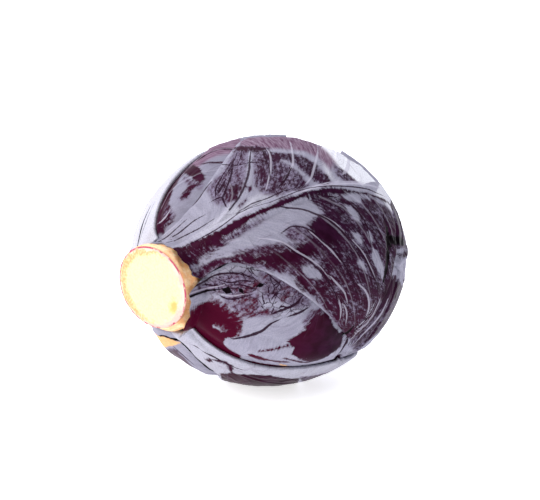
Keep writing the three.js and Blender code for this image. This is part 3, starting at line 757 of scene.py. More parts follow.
top_front_marks = {
    **right_edge_marks,
    # Painted light: the bloom lightened on the midrib's upper side, which faces the light.
    "painted light on the midrib's upper side": ("frost", 0.3, [(190, 240), (205, 226), (232, 206), (262, 192), (278, 196),
        (240, 218), (205, 238)]),
    "dark margin by the stem": ("dark_line", 0.6, [(149, 241), (159, 236), (169, 228), (178, 220),
        (185, 212), (197, 201), (204, 192), (212, 183)]),
    "stipple under the midrib": ("worn", -0.6, [(198, 253), (226, 237), (246, 225), (264, 216), (268, 222),
        (250, 232), (232, 243), (208, 256)]),
    "midrib's dark flank by the stem": ("bare", 1.9, [(184, 253), (205, 244), (226, 233), (246, 221)]),
    "midrib's dark flank": ("bare", 1.2, [(246, 221), (260, 214), (277, 207), (294, 200), (310, 195),
        (330, 192), (345, 192)]),
    "midrib's far flank": ("bare", 0.7, [(345, 192), (362, 193), (378, 198), (391, 206)]),
    "line over the midrib": ("dark_line", 0.28, [(189, 246), (200, 241), (217, 231), (228, 223),
        (240, 213), (252, 208), (270, 204)]),
    "second line over the midrib": ("dark_line", 0.25, [(238, 212), (250, 205), (266, 199), (283, 192),
        (300, 187)]),
    "third line over the midrib": ("dark_line", 0.3, [(270, 204), (287, 197), (305, 190), (325, 188),
        (345, 188), (365, 190), (380, 195), (392, 203)]),
    # The crest's pale lines are painted highlights where light falls along the midrib.
    "midrib's pale crest": ("pale_line", 0.6, [(300, 194), (315, 189), (333, 186), (353, 185), (373, 187),
        (387, 194), (394, 199)]),
    "crest's second line": ("pale_line", 0.35, [(312, 187), (330, 183), (350, 182), (368, 184)]),
    "dark foot": ("worn", -2.4, [(181, 251), (196, 245), (212, 240), (224, 236), (228, 240), (216, 248),
        (204, 256), (198, 266), (195, 277), (194, 290), (188, 284), (186, 270)]),
    "foot's dark edge": ("bare", 1.5, [(183, 252), (189, 262), (191, 275), (194, 287)]),
    "wine streaks by the foot": ("worn", -1.2, [(196, 268), (206, 258), (222, 252), (244, 247), (268, 243),
        (286, 240), (284, 248), (262, 256), (236, 264), (214, 272), (202, 284), (195, 286)]),
    "pale streak by the foot": ("bloom", 1.1, [(205, 262), (215, 258), (230, 255), (244, 253)]),
    "foot's lower streak": ("bare", 0.9, [(198, 284), (206, 277), (217, 271), (230, 267)]),
    "band's ragged edge": ("worn", -1.3, [(212, 270), (236, 257), (262, 249), (290, 242), (318, 236),
        (324, 255), (308, 270), (303, 288), (292, 277), (268, 272), (244, 269), (224, 274)]),
    "dark wine band": ("bare", 0, [(228, 263), (243, 258), (262, 254), (277, 251), (292, 247), (305, 242),
        (316, 242), (318, 252), (310, 258), (300, 262), (290, 267), (276, 266), (262, 264), (245, 265)]),
    "dark blotch": ("bare", 0, [(296, 276), (303, 269), (310, 274), (309, 287), (302, 292), (298, 287)]),
    "long dark vein": ("dark_vein", 0.5, [(230, 210), (239, 198), (245, 186), (249, 173), (250, 161),
        (252, 148)]),
    "second dark vein": ("dark_vein", 0.5, [(226, 206), (223, 199), (225, 193), (229, 183), (232, 173),
        (233, 163)]),
    "third dark vein": ("dark_vein", 0.45, [(216, 196), (217, 188), (221, 180), (225, 173)]),
    "fourth dark vein": ("dark_vein", 0.6, [(219, 193), (223, 186), (226, 180)]),
    "fifth dark vein": ("dark_vein", 0.3, [(226, 178), (231, 168), (236, 158), (238, 151)]),
    "sixth dark vein": ("dark_vein", 0.3, [(222, 178), (228, 169), (232, 161)]),
    "wine line by the stem": ("dark_line", 0.3, [(172, 237), (180, 232), (194, 221), (205, 215)]),
    "second wine line by the stem": ("dark_line", 0.25, [(170, 243), (184, 236), (200, 228), (214, 219)]),
    "third wine line by the stem": ("dark_line", 0.25, [(160, 241), (168, 236), (178, 227), (187, 219)]),
    "cross vein": ("dark_vein", 0.3, [(212, 202), (218, 199), (223, 197)]),
    "short top vein": ("dark_vein", 0.3, [(242, 151), (241, 158), (238, 165)]),
    "second short top vein": ("dark_vein", 0.3, [(262, 150), (265, 158), (269, 168), (270, 180)]),
    "level line": ("dark_line", 0.3, [(206, 167), (221, 165), (236, 166), (253, 163), (267, 164)]),
    "fan of veins": ("worn", 1.4, [(205, 190), (222, 172), (234, 152), (250, 150), (248, 178), (238, 200),
        (226, 208), (214, 206)]),
    "dark oval": ("worn", -3, [(228, 198), (229, 190), (235, 184), (243, 182), (243, 190), (235, 201),
        (230, 203)]),
    "dark spot": ("worn", -3, [(246, 187), (252, 186), (254, 191), (248, 193)]),
    "mottled shoulder": ("worn", -0.4, [(252, 151), (268, 150), (276, 158), (290, 165), (304, 176),
        (312, 187), (296, 193), (278, 198), (262, 196), (252, 186), (252, 168)]),
    "wine smear by the rib": ("worn", -2, [(236, 207), (246, 197), (249, 200), (240, 211)]),
    # Painted reflection: a soft box's mauve reflection along the top of the leaf.
    "painted reflection along the top": ("painted_reflection", 0.95, [(240, 134), (262, 134), (285, 136), (305, 140), (322, 148), (336, 164),
        (330, 170), (318, 158), (304, 152), (288, 150), (268, 149), (250, 149), (240, 148)]),
    "dark top band": ("worn", -2.2, [(232, 148), (252, 147), (270, 148), (270, 153), (252, 153),
        (232, 154)]),
    # Painted rim light: the bloom whitened on the top right shoulder.
    "painted rim light on the shoulder": ("frost", 1, [(318, 134), (342, 141), (362, 154), (378, 170), (388, 190),
        (360, 186), (346, 176), (332, 163), (318, 154)]),
    "slate band": ("worn", -0.6, [(330, 161), (346, 171), (360, 185), (346, 185), (334, 176)]),
    "first pale vein": ("vein", 0.4, [(267, 150), (270, 156), (271, 168), (269, 178), (266, 190)]),
    "second pale vein": ("vein", 0.45, [(290, 143), (292, 152), (293, 163), (290, 171), (284, 180)]),
    "its dark foot": ("dark_line", 0.5, [(291, 169), (285, 180), (278, 188)]),
    "third pale vein": ("vein", 0.5, [(317, 144), (317, 156), (314, 168), (311, 178), (305, 185)]),
    "fourth pale vein": ("vein", 0.9, [(348, 159), (347, 169), (343, 174)]),
    "wine shoulder": ("worn", -1.5, [(264, 153), (276, 152), (290, 153), (302, 155), (316, 163), (325, 172),
        (335, 185), (322, 188), (312, 181), (302, 173), (296, 166), (284, 161), (270, 160)]),
    # Painted highlight: a lens of reflected light on the shoulder.
    "painted highlight lens": ("frost", 0.5, [(322, 160), (328, 168), (334, 180), (330, 181), (324, 172)]),
    "dark right side": ("worn", -1.6, [(306, 197), (330, 195), (352, 197), (372, 200), (388, 208),
        (398, 222), (406, 240), (409, 258), (406, 276), (400, 294), (390, 310), (378, 324), (364, 337),
        (350, 347), (341, 338), (332, 322), (318, 304), (304, 292), (294, 276), (316, 262), (310, 244),
        (302, 232), (306, 222), (320, 212)]),
    "deep wine patch": ("bare", 0, [(309, 224), (317, 217), (328, 219), (337, 225), (341, 235), (340, 244),
        (332, 248), (322, 244), (313, 236)]),
    "patch under the crest": ("bare", 1.2, [(320, 197), (334, 197), (342, 202), (350, 210)]),
    "ringed bloom": ("worn", 0.6, [(283, 229), (294, 223), (308, 225), (318, 236), (312, 243), (298, 245),
        (286, 240)]),
    "first lower vein": ("dark_vein", 0.45, [(280, 208), (295, 209), (306, 211), (316, 215), (328, 220),
        (337, 227), (345, 236), (351, 245), (358, 256)]),
    # The veins' pale sides are painted highlights where light falls along their ridges.
    "its pale side": ("pale_line", 0.3, [(318, 215), (328, 219), (337, 225), (344, 232)]),
    "second lower vein": ("dark_vein", 0.4, [(283, 232), (291, 227), (301, 227), (311, 231), (321, 240),
        (332, 249), (341, 260), (348, 272), (353, 283), (356, 293)]),
    "second vein's pale side": ("pale_line", 0.35, [(309, 231), (322, 242), (333, 253), (341, 263)]),
    "third lower vein": ("vein", 0.35, [(258, 238), (274, 240), (284, 243), (296, 251), (308, 258),
        (320, 267), (328, 277)]),
    "third lower vein, dark": ("dark_vein", 0.4, [(286, 246), (297, 254), (309, 261), (319, 270),
        (327, 280), (333, 290), (337, 302)]),
    "fourth lower vein": ("dark_vein", 0.4, [(345, 200), (354, 208), (363, 220), (368, 232), (370, 246)]),
    "right vein": ("dark_vein", 0.45, [(356, 246), (364, 258), (370, 271), (375, 282), (378, 293)]),
    "right vein's pale side": ("pale_line", 0.3, [(352, 240), (362, 252), (369, 265), (374, 277)]),
    "pale patch under the rib": ("bloom", 0, [(340, 196), (352, 195), (363, 199), (360, 204), (348, 202)]),
    "grey streak": ("bloom", 0, [(344, 205), (351, 207), (358, 214), (361, 223), (355, 221), (348, 213)]),
    "pale island": ("bloom", 0, [(351, 232), (358, 233), (363, 241), (361, 245), (354, 239)]),
    "second pale island": ("bloom", 0, [(366, 229), (370, 232), (374, 241), (371, 244), (367, 238)]),
    "long pale island": ("bloom", 0, [(371, 247), (377, 249), (382, 260), (384, 271), (382, 280),
        (376, 270), (371, 258)]),
    "small pale island": ("bloom", 0, [(357, 258), (363, 262), (367, 272), (362, 271), (357, 264)]),
    "crackled island": ("bloom", 0, [(301, 264), (312, 267), (323, 273), (321, 280), (310, 279),
        (302, 273)]),
    "grey slope": ("worn", 1.0, [(366, 199), (378, 205), (388, 218), (390, 230), (380, 222), (370, 211)]),
    "pale arc": ("pale_line", 0.45, [(358, 284), (365, 291), (368, 300), (367, 311), (362, 322),
        (354, 331)]),
    "pale streak": ("pale_line", 0.4, [(330, 276), (337, 284), (344, 292), (347, 302)]),
    "second pale streak": ("pale_line", 0.4, [(338, 300), (340, 308), (339, 318)]),
    "third pale streak": ("pale_line", 0.35, [(343, 304), (346, 312), (345, 322)]),
    "pale edge by the tip": ("worn", 0.9, [(326, 300), (336, 311), (344, 323), (349, 331), (343, 335),
        (334, 323), (323, 308)]),
}
piece = build_leaf("top_front_leaf", top_front, top_front_marks, 11, waxed_leaf, 250, 78)
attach(piece, "root")
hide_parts("leaf_top_front")
laid.append(top_front)

# The narrow leaf underneath shows as a pale strip between the low front leaf and the floor. It is a
# waxy blade like the first, grown onto the stem, and the head's weight holds it down.
underside = {
    "middle": 150, "start": 17.4, "tip": 119, "round": 80,
    "before": (3, 21, 15, 88, 0.3), "after": (9.5, 50, 36, 76, 0.33),
    "bend": [(20, 0), (60, 0.5), (120, 0)],
    "rib": (5, 1.2), "vein": 0.4, "lift": 0.2, "wave": 0.1, "foot": (5, 1, 0.5), "depth": 2,
    # Its tone is above nought: painted light, lightening its bloom.
    "veining": 0.2, "tone": 0.3, "margin": 1.6,
}
underside_marks = {
    "squiggle": ("bare", 0.9, [(212, 356), (217, 356), (227, 359), (232, 363), (233, 369)]),
    "squiggle's end": ("bare", 1.3, [(209, 357), (212, 357)]),
    "line by the low front leaf": ("dark_line", 0.35, [(196, 343), (212, 351), (230, 361), (247, 367)]),
    "plum smear": ("bare", 0, [(222, 369), (236, 369), (250, 370), (270, 371), (298, 374), (302, 390),
        (255, 394), (222, 387)]),
    "speckled edge": ("worn", -0.8, [(298, 372), (324, 368), (342, 361), (344, 368), (324, 377),
        (302, 381)]),
    # Painted shadow: a black line in the gap under this leaf's margin.
    "painted shadow under the leaf's margin": ("crack", 0.6, [(155, 327), (158, 331), (167, 332), (173, 336), (182, 340),
        (190, 347), (197, 355), (207, 363), (217, 370), (225, 373)]),
}
piece = build_leaf("underside_leaf", underside, underside_marks, 12, waxed_leaf)
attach(piece, "root")
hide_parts("leaf_underside")
laid.append(underside)

# The back leaf is a broad waxy blade, grown onto the stem and loose at its margin. It stands a little
# off the head at the left of the picture.
back_leaf = {
    "middle": 275, "start": 18.2, "tip": 118, "round": 80,
    "before": (15, 48, 8, 60, 0.33), "after": (12, 52, 3, 54, 0.32),
    "bend": [(20, 1), (60, -1), (120, 2)],
    "rib": (14, 2.8), "vein": 0.8, "lift": 0.2, "wave": 0.1, "foot": (9, 1, 1),
    "margin": 1.9,
}
back_marks = {
    # Painted rim light: the back leaf's limb whitened where light from behind grazes it.
    "painted rim light on the back limb": ("frost", 0.45, [(134, 262), (124, 232), (130, 200), (150, 166), (178, 142), (206, 130),
        (214, 144), (196, 170), (180, 196), (170, 222), (160, 252)]),
    # Painted shadow: a black line in the gap where this leaf's margin stands off the next leaf.
    "painted shadow gap line": ("crack", 0.7, [(136, 250), (139, 236), (143, 222), (150, 207)]),
    "thin wine streak": ("dark_line", 0.25, [(140, 240), (146, 222), (155, 202)]),
}
piece = build_leaf("back_leaf", back_leaf, back_marks, 13, waxed_leaf)
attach(piece, "root")
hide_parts("leaf_back")
laid.append(back_leaf)

# The low front leaf comes out from under the large front leaf. Its waxy blade has a broad flat
# midrib, creased and cracked near the stem that it is grown onto.
low_front = {
    "middle": 119, "start": 17.8, "tip": 130, "round": 86,
    "before": (15, 43, 8, 30, 0.32), "after": (12, 40, 20, 60, 0.33),
    "bend": [(20, 0), (60, 1), (100, -1), (130, -2)],
    "rib": (20, 1.6), "vein": 0.2, "lift": 0.3, "wave": 0.2, "foot": (10, 1, 0.6), "depth": 2,
    "veining": 0, "wine": 1, "margin": 1.9,
}
low_front_marks = {
    **right_edge_marks,
    "crackled skin": ("crackle", 1, [(196, 288), (210, 276), (226, 268), (250, 264), (272, 266), (292, 274),
        (306, 288), (312, 300), (306, 308), (290, 312), (262, 314), (246, 300), (222, 296)]),
    "folded skin": ("worn", 1.6, [(192, 292), (206, 280), (220, 272), (250, 268), (262, 276), (262, 292),
        (240, 296), (215, 294)]),
    "worn by the holes": ("worn", 1.2, [(222, 294), (246, 284), (262, 292), (264, 310), (246, 317),
        (226, 309)]),
    "far crackled skin": ("worn", 1.6, [(256, 268), (274, 268), (294, 276), (312, 294), (312, 308),
        (292, 308), (280, 300), (262, 300)]),
    "wine patch by the stem": ("bare", 0, [(182, 314), (186, 307), (192, 304), (198, 307), (203, 302),
        (213, 298), (221, 300), (229, 304), (234, 311), (241, 316), (242, 330), (238, 334), (227, 334),
        (225, 341), (230, 348), (231, 354), (224, 353), (212, 347), (200, 339), (188, 330)]),
    "bloom in the wine patch": ("worn", 0.3, [(193, 304), (203, 303), (209, 313), (207, 322), (200, 320),
        (196, 312)]),
    "streaks over the wine patch": ("worn", -0.8, [(214, 296), (232, 303), (243, 316), (241, 331), (226, 330),
        (214, 314)]),
    "flecks in the wine patch": ("bloom", 0.5, [(216, 323), (220, 325), (225, 327)]),
    "brown ring": ("bare", 0.75, [(230, 304), (237, 301), (251, 298), (254, 303), (244, 312), (235, 311),
        (230, 305)]),
    # The folds' dark lines are painted shade in their creases, and the lips' pale lines painted highlights.
    "upper fold": ("dark_line", 0.35, [(197, 288), (203, 283), (213, 276), (227, 273), (243, 274),
        (254, 278)]),
    "slit by the stem": ("crack", 0.4, [(187, 294), (197, 292), (210, 290), (224, 288)]),
    "slit's pale lip": ("pale_line", 0.25, [(190, 291), (200, 289), (213, 287), (226, 284)]),
    "middle fold": ("dark_line", 0.3, [(216, 278), (230, 282), (243, 280), (254, 281)]),
    "short fold": ("dark_line", 0.3, [(205, 284), (214, 285), (224, 284)]),
    "second short fold": ("dark_line", 0.3, [(232, 285), (240, 284), (251, 286)]),
    "low fold": ("dark_line", 0.35, [(222, 295), (230, 298), (240, 297), (253, 293)]),
    "fold's pale lip": ("pale_line", 0.25, [(222, 293), (232, 295), (246, 293)]),
    "first hole": ("crack", 1.4, [(226, 289), (229, 290), (231, 291)]),
    "second hole": ("crack", 0.9, [(241, 289), (243, 291)]),
    "third hole": ("crack", 0.8, [(259, 285), (263, 284)]),
    "wine by the holes": ("bare", 1.0, [(243, 291), (249, 287), (256, 284)]),
    "crackle": ("dark_line", 0.25, [(268, 274), (275, 280), (281, 286), (277, 293), (272, 304)]),
    "leaf-shaped mark": ("bare", 0.8, [(283, 297), (288, 296), (293, 294)]),
    "brown band": ("worn", -0.8, [(248, 308), (262, 307), (274, 305), (283, 309), (278, 314), (262, 316),
        (250, 316)]),
    "long dark line": ("dark_line", 0.6, [(236, 335), (248, 333), (256, 331), (263, 328), (270, 322),
        (278, 318)]),
    "upper dark line": ("dark_line", 0.55, [(274, 311), (285, 307), (296, 302), (302, 296)]),
    "second upper line": ("dark_line", 0.5, [(289, 314), (298, 311), (307, 307)]),
    "small cross line": ("dark_line", 0.3, [(272, 297), (276, 292), (281, 288)]),
    "low dark line": ("bare", 0.8, [(260, 347), (273, 345), (287, 342)]),
    "plum patch": ("bare", 0, [(286, 339), (296, 332), (303, 327), (308, 318), (326, 310), (333, 324),
        (343, 337), (338, 345), (328, 350), (316, 358), (307, 359), (299, 355), (290, 350), (294, 344)]),
    "worn top of the patch": ("worn", 0.2, [(300, 318), (308, 308), (324, 306), (326, 312), (310, 320),
        (302, 328)]),
    "bloom in the plum patch": ("worn", 0.6, [(300, 356), (307, 347), (322, 345), (320, 352), (310, 357)]),
    "patch's tail": ("bare", 0.9, [(284, 354), (294, 357), (305, 360), (313, 358)]),
    "squares by the edge": ("bare", 1.6, [(251, 352), (257, 354), (263, 356)]),
    "line by the edge": ("bare", 0.9, [(263, 356), (273, 358), (288, 359)]),
    "near lower edge": ("bare", 0, [(190, 327), (212, 338), (228, 347), (241, 354), (240, 363), (226, 358),
        (208, 348), (192, 337)]),
    "dark lower edge": ("bare", 0, [(240, 358), (258, 362), (277, 365), (303, 366), (324, 362), (340, 354),
        (341, 362), (324, 369), (303, 372), (277, 372), (258, 369), (240, 364)]),
    "dark tip": ("dark_line", 0.6, [(351, 330), (347, 338), (341, 347), (337, 356)]),
    "tan spot": ("cork", 0.9, [(280, 363), (286, 365)]),
}
piece = build_leaf("low_front_leaf", low_front, low_front_marks, 14, waxed_leaf, 220, 70)
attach(piece, "root")
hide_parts("leaf_low_front")
laid.append(low_front)

# The top back leaf shows at the upper left, where it comes out from between the large front leaf
# and the back leaf. It is a waxy blade grown onto the stem, wine red along its edge.
top_back = {
    "middle": 325, "start": 19.3, "tip": 124, "round": 84,
    "before": (15, 40, 12, 60, 0.33), "after": (15, 45, 10, 45, 0.31),
    "bend": [(20, 1), (70, -1), (124, -2)],
    "rib": (12, 1.6), "vein": 0.8, "lift": 0.6, "wave": 0.3, "foot": (8, 1, 1), "depth": 3,
    # Its tone is below nought: painted shade, greying its bloom.
    "tone": -0.45, "margin": 1.9,
}
top_back_marks = {
    # Painted reflection: the soft box's mauve reflection along the top of this leaf.
    "painted reflection band": ("painted_reflection", 1, [(184, 174), (194, 158), (205, 146), (222, 136), (242, 129), (246, 152),
        (226, 158), (208, 167), (197, 176)]),
    "wine edge": ("bare", 0, [(148, 240), (158, 209), (165, 191), (177, 171), (189, 158), (198, 163),
        (187, 177), (177, 195), (171, 212), (164, 233)]),
    "upper wine edge": ("bare", 0, [(189, 158), (204, 145), (219, 137), (237, 130), (242, 138),
        (227, 144), (212, 151), (201, 160), (195, 166)]),
    "wine base": ("bare", 0, [(149, 237), (156, 216), (163, 206), (167, 218), (174, 222), (166, 230),
        (158, 235)]),
    "worn by the base": ("worn", -1.2, [(160, 204), (168, 198), (174, 206), (180, 216), (172, 226),
        (163, 232)]),
    "pale arc by the base": ("pale_line", 0.4, [(163, 224), (169, 220), (175, 212)]),
    "dark patch": ("bare", 0, [(186, 173), (196, 169), (203, 172), (208, 181), (204, 186), (197, 183),
        (188, 177)]),
    "worn beside the patch": ("worn", 0.8, [(184, 178), (198, 184), (208, 186), (212, 178), (204, 194),
        (190, 190)]),
    "dark smear": ("worn", -3, [(181, 202), (192, 190), (199, 190), (192, 202), (184, 205)]),
    "wine streak": ("bare", 1.1, [(202, 164), (217, 156), (233, 152)]),
    "second wine streak": ("bare", 0.6, [(207, 169), (218, 166), (230, 163)]),
    "level line": ("dark_line", 0.35, [(204, 169), (212, 167), (221, 166)]),
}
piece = build_leaf("top_back_leaf", top_back, top_back_marks, 15, waxed_leaf)
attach(piece, "root")
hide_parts("leaf_top_back")
laid.append(top_back)

# The bottom back leaf lies deepest of the wrapper leaves, grown onto the stem where a scar of tan
# cork runs down its edge. The head rests partly on it.
bottom_back = {
    "middle": 205, "start": 17.2, "tip": 122, "round": 82,
    "before": (14, 45, 8, 35, 0.31), "after": (14, 45, 10, 50, 0.33),
    "bend": [(20, 0), (70, 1), (122, -1)],
    "rib": (14, 1.6), "vein": 0.6, "lift": 0.5, "wave": 0.3, "foot": (3, 1, 1), "depth": 3,
    # Its tone is below nought: painted shade, greying its bloom.
    "veining": 0.3, "tone": -0.2, "margin": 1.9,
}
bottom_back_marks = {
    "dark limb streak": ("bare", 0, [(145, 330), (160, 347), (177, 362), (193, 373), (206, 378), (206, 370),
        (192, 363), (176, 352), (160, 338)]),
    "dark streaks": ("worn", -1.2, [(162, 342), (178, 343), (190, 354), (208, 368), (196, 369),
        (176, 355)]),
    "first dark line": ("dark_line", 0.5, [(168, 343), (178, 350), (190, 360), (204, 368)]),
    "second dark line": ("dark_line", 0.4, [(178, 343), (188, 352), (199, 361)]),
    # Painted shadow: a black line in the gap under the underside leaf's margin.
    "painted shadow under the underside leaf": underside_marks["painted shadow under the leaf's margin"],
    "orange scar": ("cork", 0, [(150, 324), (155, 325), (160, 330), (169, 333), (174, 337), (182, 341),
        (174, 342), (165, 341), (157, 334)]),
}
piece = build_leaf("bottom_back_leaf", bottom_back, bottom_back_marks, 16, waxed_leaf)
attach(piece, "root")
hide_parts("leaf_bottom_back")
laid.append(bottom_back)

# Two inner leaves close over the crown, at the far end of the head. They are waxy blades like the
# others, grown into the core, so each fills the room down to it.
CROWN_SEAT = 9
over_crown = {
    "middle": 248, "start": 84, "tip": 206, "round": 138,
    "before": (40, 55, 84, 120, 0.3), "after": (40, 52, 84, 120, 0.3),
    "bend": [(84, 0), (140, 5), (206, -6)],
    "rib": (8, 2), "vein": 0.8, "lift": 0.6, "wave": 0.4, "seat": CROWN_SEAT,
}
piece = build_leaf("over_crown_leaf", over_crown, {}, 17, waxed_leaf, 110, 40)
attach(piece, "root")
laid.append(over_crown)

under_crown = {
    "middle": 88, "start": 84, "tip": 204, "round": 140,
    "before": (42, 52, 84, 120, 0.3), "after": (42, 52, 84, 120, 0.3),
    "bend": [(84, 0), (150, -3), (204, 0)],
    "rib": (8, 2), "vein": 0.8, "lift": 0.6, "wave": 0.4, "seat": CROWN_SEAT, "depth": 2,
}
under_crown_marks = {
    "dark side": ("worn", -1.6, [(384, 194), (396, 206), (406, 224), (412, 244), (412, 264), (408, 282),
        (400, 298), (388, 316), (372, 334), (354, 350), (340, 360), (336, 352), (352, 336), (366, 318),
        (378, 298), (384, 276), (386, 252), (384, 230), (380, 210)]),
    **right_edge_marks,
}
piece = build_leaf("under_crown_leaf", under_crown, under_crown_marks, 18, waxed_leaf, 160, 60)
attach(piece, "root")
laid.append(under_crown)

# The core is the rest of the head: dozens of inner leaves packed tight round the stem. It shows only
# at the crown and in the gaps between the other leaves, and its skin is a leaf's.
CORE_REACH = 14
CROWN_REACH = 8
CORE_FALL = 16
CORE_DROP = 1.4
CROWN_SHOWS = 126
CROWN_BLEND = 14
CORE_FROM = 8
CORE_TO = 174
CORE_RINGS = 110
CORE_SIDES = 160
STEM_INNER = -71.8
STEM_GAP = 0.3


def ringed_body(name, first, rings, last, material, numbers, vectors):
    """A closed body of rings of points, with one point at either end."""
    count, sides = rings.shape[:2]
    at = 1 + np.arange(count * sides).reshape(count, sides)
    turned = np.roll(at, -1, axis=1)
    faces = np.stack([at[:-1], at[1:], turned[1:], turned[:-1]], -1).reshape(-1, 4).tolist()
    faces += [[0, a, b] for a, b in zip(at[0].tolist(), turned[0].tolist())]
    faces += [[count * sides + 1, b, a] for a, b in zip(at[-1].tolist(), turned[-1].tolist())]
    points = np.concatenate([first[None], rings.reshape(-1, 3), last[None]])
    return mesh_object(name, points, faces, material, numbers, vectors)


from_stem = np.radians(np.linspace(CORE_FROM, CORE_TO, CORE_RINGS))[:, None]
around = np.radians(np.linspace(0, -360, CORE_SIDES, endpoint=False))[None]
direction = np.stack([-np.cos(from_stem) + 0 * around, -np.sin(from_stem) * np.sin(around),
    np.sin(from_stem) * np.cos(around)], -1)
hidden = 1 - smooth(np.degrees(from_stem), CROWN_SHOWS - CROWN_BLEND, CROWN_SHOWS)
shown_radius = layer_radius(direction, laid, CROWN_REACH, CORE_FALL)
hidden_radius = layer_radius(direction, laid, CORE_REACH, CORE_FALL) - CORE_DROP
radius = shown_radius + (hidden_radius - shown_radius) * hidden
rings = direction * radius[..., None]
rings[..., 0] = np.maximum(rings[..., 0], STEM_INNER + STEM_GAP)
rings[..., 2] = np.maximum(rings[..., 2], -REST_HEIGHT)
crown = np.array([layer_radius(np.array([[1.0, 0, 0]]), laid, CROWN_REACH, CORE_FALL)[0], 0, 0])
spread_mm = np.concatenate([np.zeros((1, 3)), rings.reshape(-1, 3), [crown]])
skin_numbers = {"bloom": UNSEEN_SIDE["bloom"], "worn": UNSEEN_SIDE["worn"], "cork": UNMARKED["cork"]}
piece = ringed_body("packed_core", np.array([STEM_INNER + STEM_GAP, 0, 0]), rings, crown, waxed_leaf,
    {key: np.full(len(spread_mm), value) for key, value in skin_numbers.items()},
    {"leaf_mm": spread_mm, "vein_mm": spread_mm})
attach(piece, "root")
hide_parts("inner_head")

# The stump of the stem, moist flesh sawn flat across. Its pith is pale yellow inside a thin red rim,
# and corky scars of older leaves ring it where it runs into the head.
STEM_CUT = -88.4
CUT_RADIUS = 21.8
INNER_RADIUS = 22.4
CUT_RISE = 3.6
LEAN_ACROSS = 0.15
LEAN_UP = 0.055
SWELL = 1.1
SIDE_RINGS = 66
STEM_SIDES = 220
FACE_RINGS = [0.1, 0.2, 0.3, 0.4, 0.5, 0.58, 0.66, 0.72, 0.78, 0.82, 0.86, 0.89, 0.92, 0.94, 0.955, 0.97,
    0.985]
length = STEM_INNER - STEM_CUT
shares = np.concatenate([np.ones(len(FACE_RINGS)), np.linspace(0.985, 0, SIDE_RINGS), [0]])[:, None]
inward = np.concatenate([FACE_RINGS, np.ones(SIDE_RINGS), [0.5]])[:, None]
around = np.linspace(0, 2 * np.pi, STEM_SIDES, endpoint=False)[None]
scars = 0.55 * np.sin(3 * np.pi * shares + around) + 0.35 * np.sin(2 * around + 9 * shares)
scars = scars + 0.25 * np.sin(5 * around - 4 * shares)
swell = SWELL * np.sin(np.pi * np.clip((shares - 0.2) / 0.7, 0, 1))
ridges = scars * smooth(shares, 0.25, 0.5) * (1 - smooth(shares, 0.8, 1))
radius = (INNER_RADIUS + (CUT_RADIUS - INNER_RADIUS) * shares + swell + ridges) * inward
side = radius * np.sin(around)
up = radius * np.cos(around)
lean = LEAN_ACROSS * side + LEAN_UP * up
rings = np.stack([STEM_INNER - length * shares - shares * lean, side, CUT_RISE * shares + up], -1)

# Cut plant flesh, wet from the saw, and the dry cork of its side. The eye sees light soak into the
# pale pith, with a soft gleam, and a dull rough tan round it. The IOR is wet plant flesh's, a little
# over water's. The patterns' sizes are in millimetres.
MOTTLE = 4.55
SPOT = 1.11
GRIT = 1.43
GRIT_DEPTH = 0.8
LIGHT_REACH = 4
# How far the edges of the rings and the patch wander over the cut
EDGE_WANDER = 8
cut_stem_flesh, tree = new_material("cut_cabbage_stem_flesh")
place = add(tree, "Attribute", {}, "Vector", attribute_name="stem_mm")
noise = {}
for name, size, detail, roughness in (("mottle", MOTTLE, 4, 0.6), ("spots", SPOT, 3, 0.5),
        ("grit", GRIT, 6, 0.6)):
    noise[name] = add(tree, "TexNoise", {"Vector": place, "Scale": 1 / size, "Detail": detail,
        "Roughness": roughness})
carried = {}
for name in ("past_cut", "from_rim", "peach", "rosy", "orange"):
    carried[name] = add(tree, "Attribute", {}, "Fac", attribute_name=name)
for name in ("peach", "rosy", "orange"):
    wander = add(tree, "Math", {0: noise["mottle"], 1: EDGE_WANDER, 2: -EDGE_WANDER / 2},
        operation="MULTIPLY_ADD")
    carried[name] = add(tree, "Math", {0: carried[name], 1: wander})
spread = {}
for name, value, low, high, most in (
    ("spotted pith", noise["spots"], 0.3, 0.7, 1), ("spotted ring", noise["spots"], 0.35, 0.65, 1),
    ("mottled blush", noise["mottle"], 0.4, 0.6, 1), ("ring", carried["peach"], -1.2, 1.4, 1),
    ("patch", carried["orange"], -1.6, 1.8, 0.9), ("blush", carried["rosy"], -0.8, 0.8, 1),
    ("rim", carried["from_rim"], 1.3, 0.5, 1), ("broken rim", noise["mottle"], 0.44, 0.56, 1),
    ("mottled cork", noise["mottle"], 0.35, 0.68, 1), ("dark spots", noise["spots"], 0.55, 0.75, 0.5),
    ("red edge", carried["past_cut"], 0.9, 0.2, 0.6), ("face", carried["past_cut"], 0.35, 0, 1),
):
    spread[name] = add(tree, "MapRange", {"Value": value, "From Min": low, "From Max": high,
        "To Max": most}, interpolation_type="SMOOTHSTEP")
spread["rim"] = add(tree, "Math", {0: spread["rim"], 1: spread["broken rim"]}, operation="MULTIPLY")
coats = {}
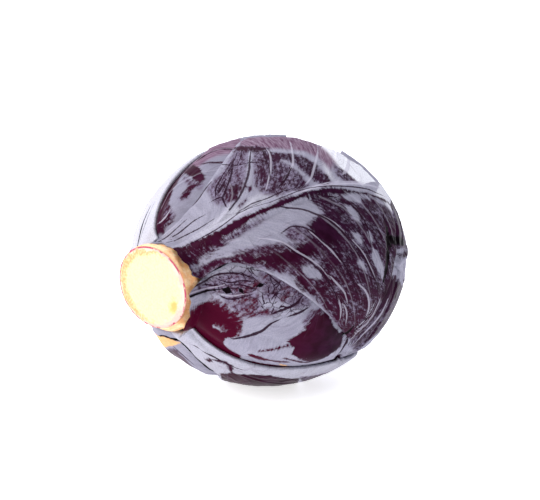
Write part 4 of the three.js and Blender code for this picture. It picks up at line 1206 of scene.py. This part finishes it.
for name, share, under, over in (
    ("pith", "spotted pith", "#efe3a2", "#f4ebb4"), ("peach", "spotted ring", "#e3a66c", "#f0c795"),
    ("rosy", "mottled blush", "#e8b9ae", "#f0d3bd"), ("face", "ring", "pith", "peach"),
    ("face", "patch", "face", "#eeb05f"), ("face", "blush", "face", "rosy"),
    ("face", "rim", "face", "#b3285a"), ("cork", "mottled cork", "#eeb076", "#ffdcae"),
    ("cork", "dark spots", "cork", "#b57a4e"), ("cork", "red edge", "cork", "#b8506a"),
    ("stem", "face", "cork", "face"),
):
    pair = [coats[colour] if colour in coats else linear(colour) for colour in (under, over)]
    coats[name] = add(tree, "Mix", {0: spread[share], 6: pair[0], 7: pair[1]}, 2, data_type="RGBA")
gritty = add(tree, "Bump", {"Height": noise["grit"], "Strength": 0.35, "Distance": MM * GRIT_DEPTH})
flesh = add(tree, "BsdfPrincipled", {"Base Color": coats["stem"], "Roughness": 0.62, "IOR": 1.4,
    "Specular IOR Level": 0.3, "Subsurface Weight": 0.15, "Subsurface Scale": MM * LIGHT_REACH,
    "Normal": gritty})
add(tree, "OutputMaterial", {"Surface": flesh})

# The peach ring is wide on the back's side of the cut, and the rosy one on the front's side. Each
# number is how far inside its colour a point is, in millimetres, and NONE is well outside it.
NONE = -15
PATCH_SIZE = 2.8
PATCH_AT = (-13.5, -8)
middle = np.array([STEM_CUT, 0, CUT_RISE])
end = np.array([STEM_INNER, 0, 0])
past = (length * (1 - shares) + 0 * around).ravel()
inset = (CUT_RADIUS * (1 - inward) + 0 * around).ravel()
backward = (0.5 + 0.5 * np.cos(around - 1.3) + 0 * shares).ravel()
peach_ring = 1.6 + 3.4 * backward - inset
rosy_ring = 0.8 + 3.2 * (1 - backward) ** 1.5 - inset
patch = PATCH_SIZE - np.hypot(side - PATCH_AT[0], 0.7 * (up - PATCH_AT[1])).ravel()
numbers = {
    "past_cut": (0, past, length), "from_rim": (CUT_RADIUS, inset, CUT_RADIUS),
    "peach": (NONE, peach_ring, 0), "rosy": (NONE, rosy_ring, 0), "orange": (NONE, patch, NONE),
}
piece = ringed_body("cut_stem", middle, rings, end, cut_stem_flesh,
    {key: np.concatenate([[first], between, [last]]) for key, (first, between, last) in numbers.items()},
    {"stem_mm": np.concatenate([[middle], rings.reshape(-1, 3), [end]])})
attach(piece, "root")
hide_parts("stem")
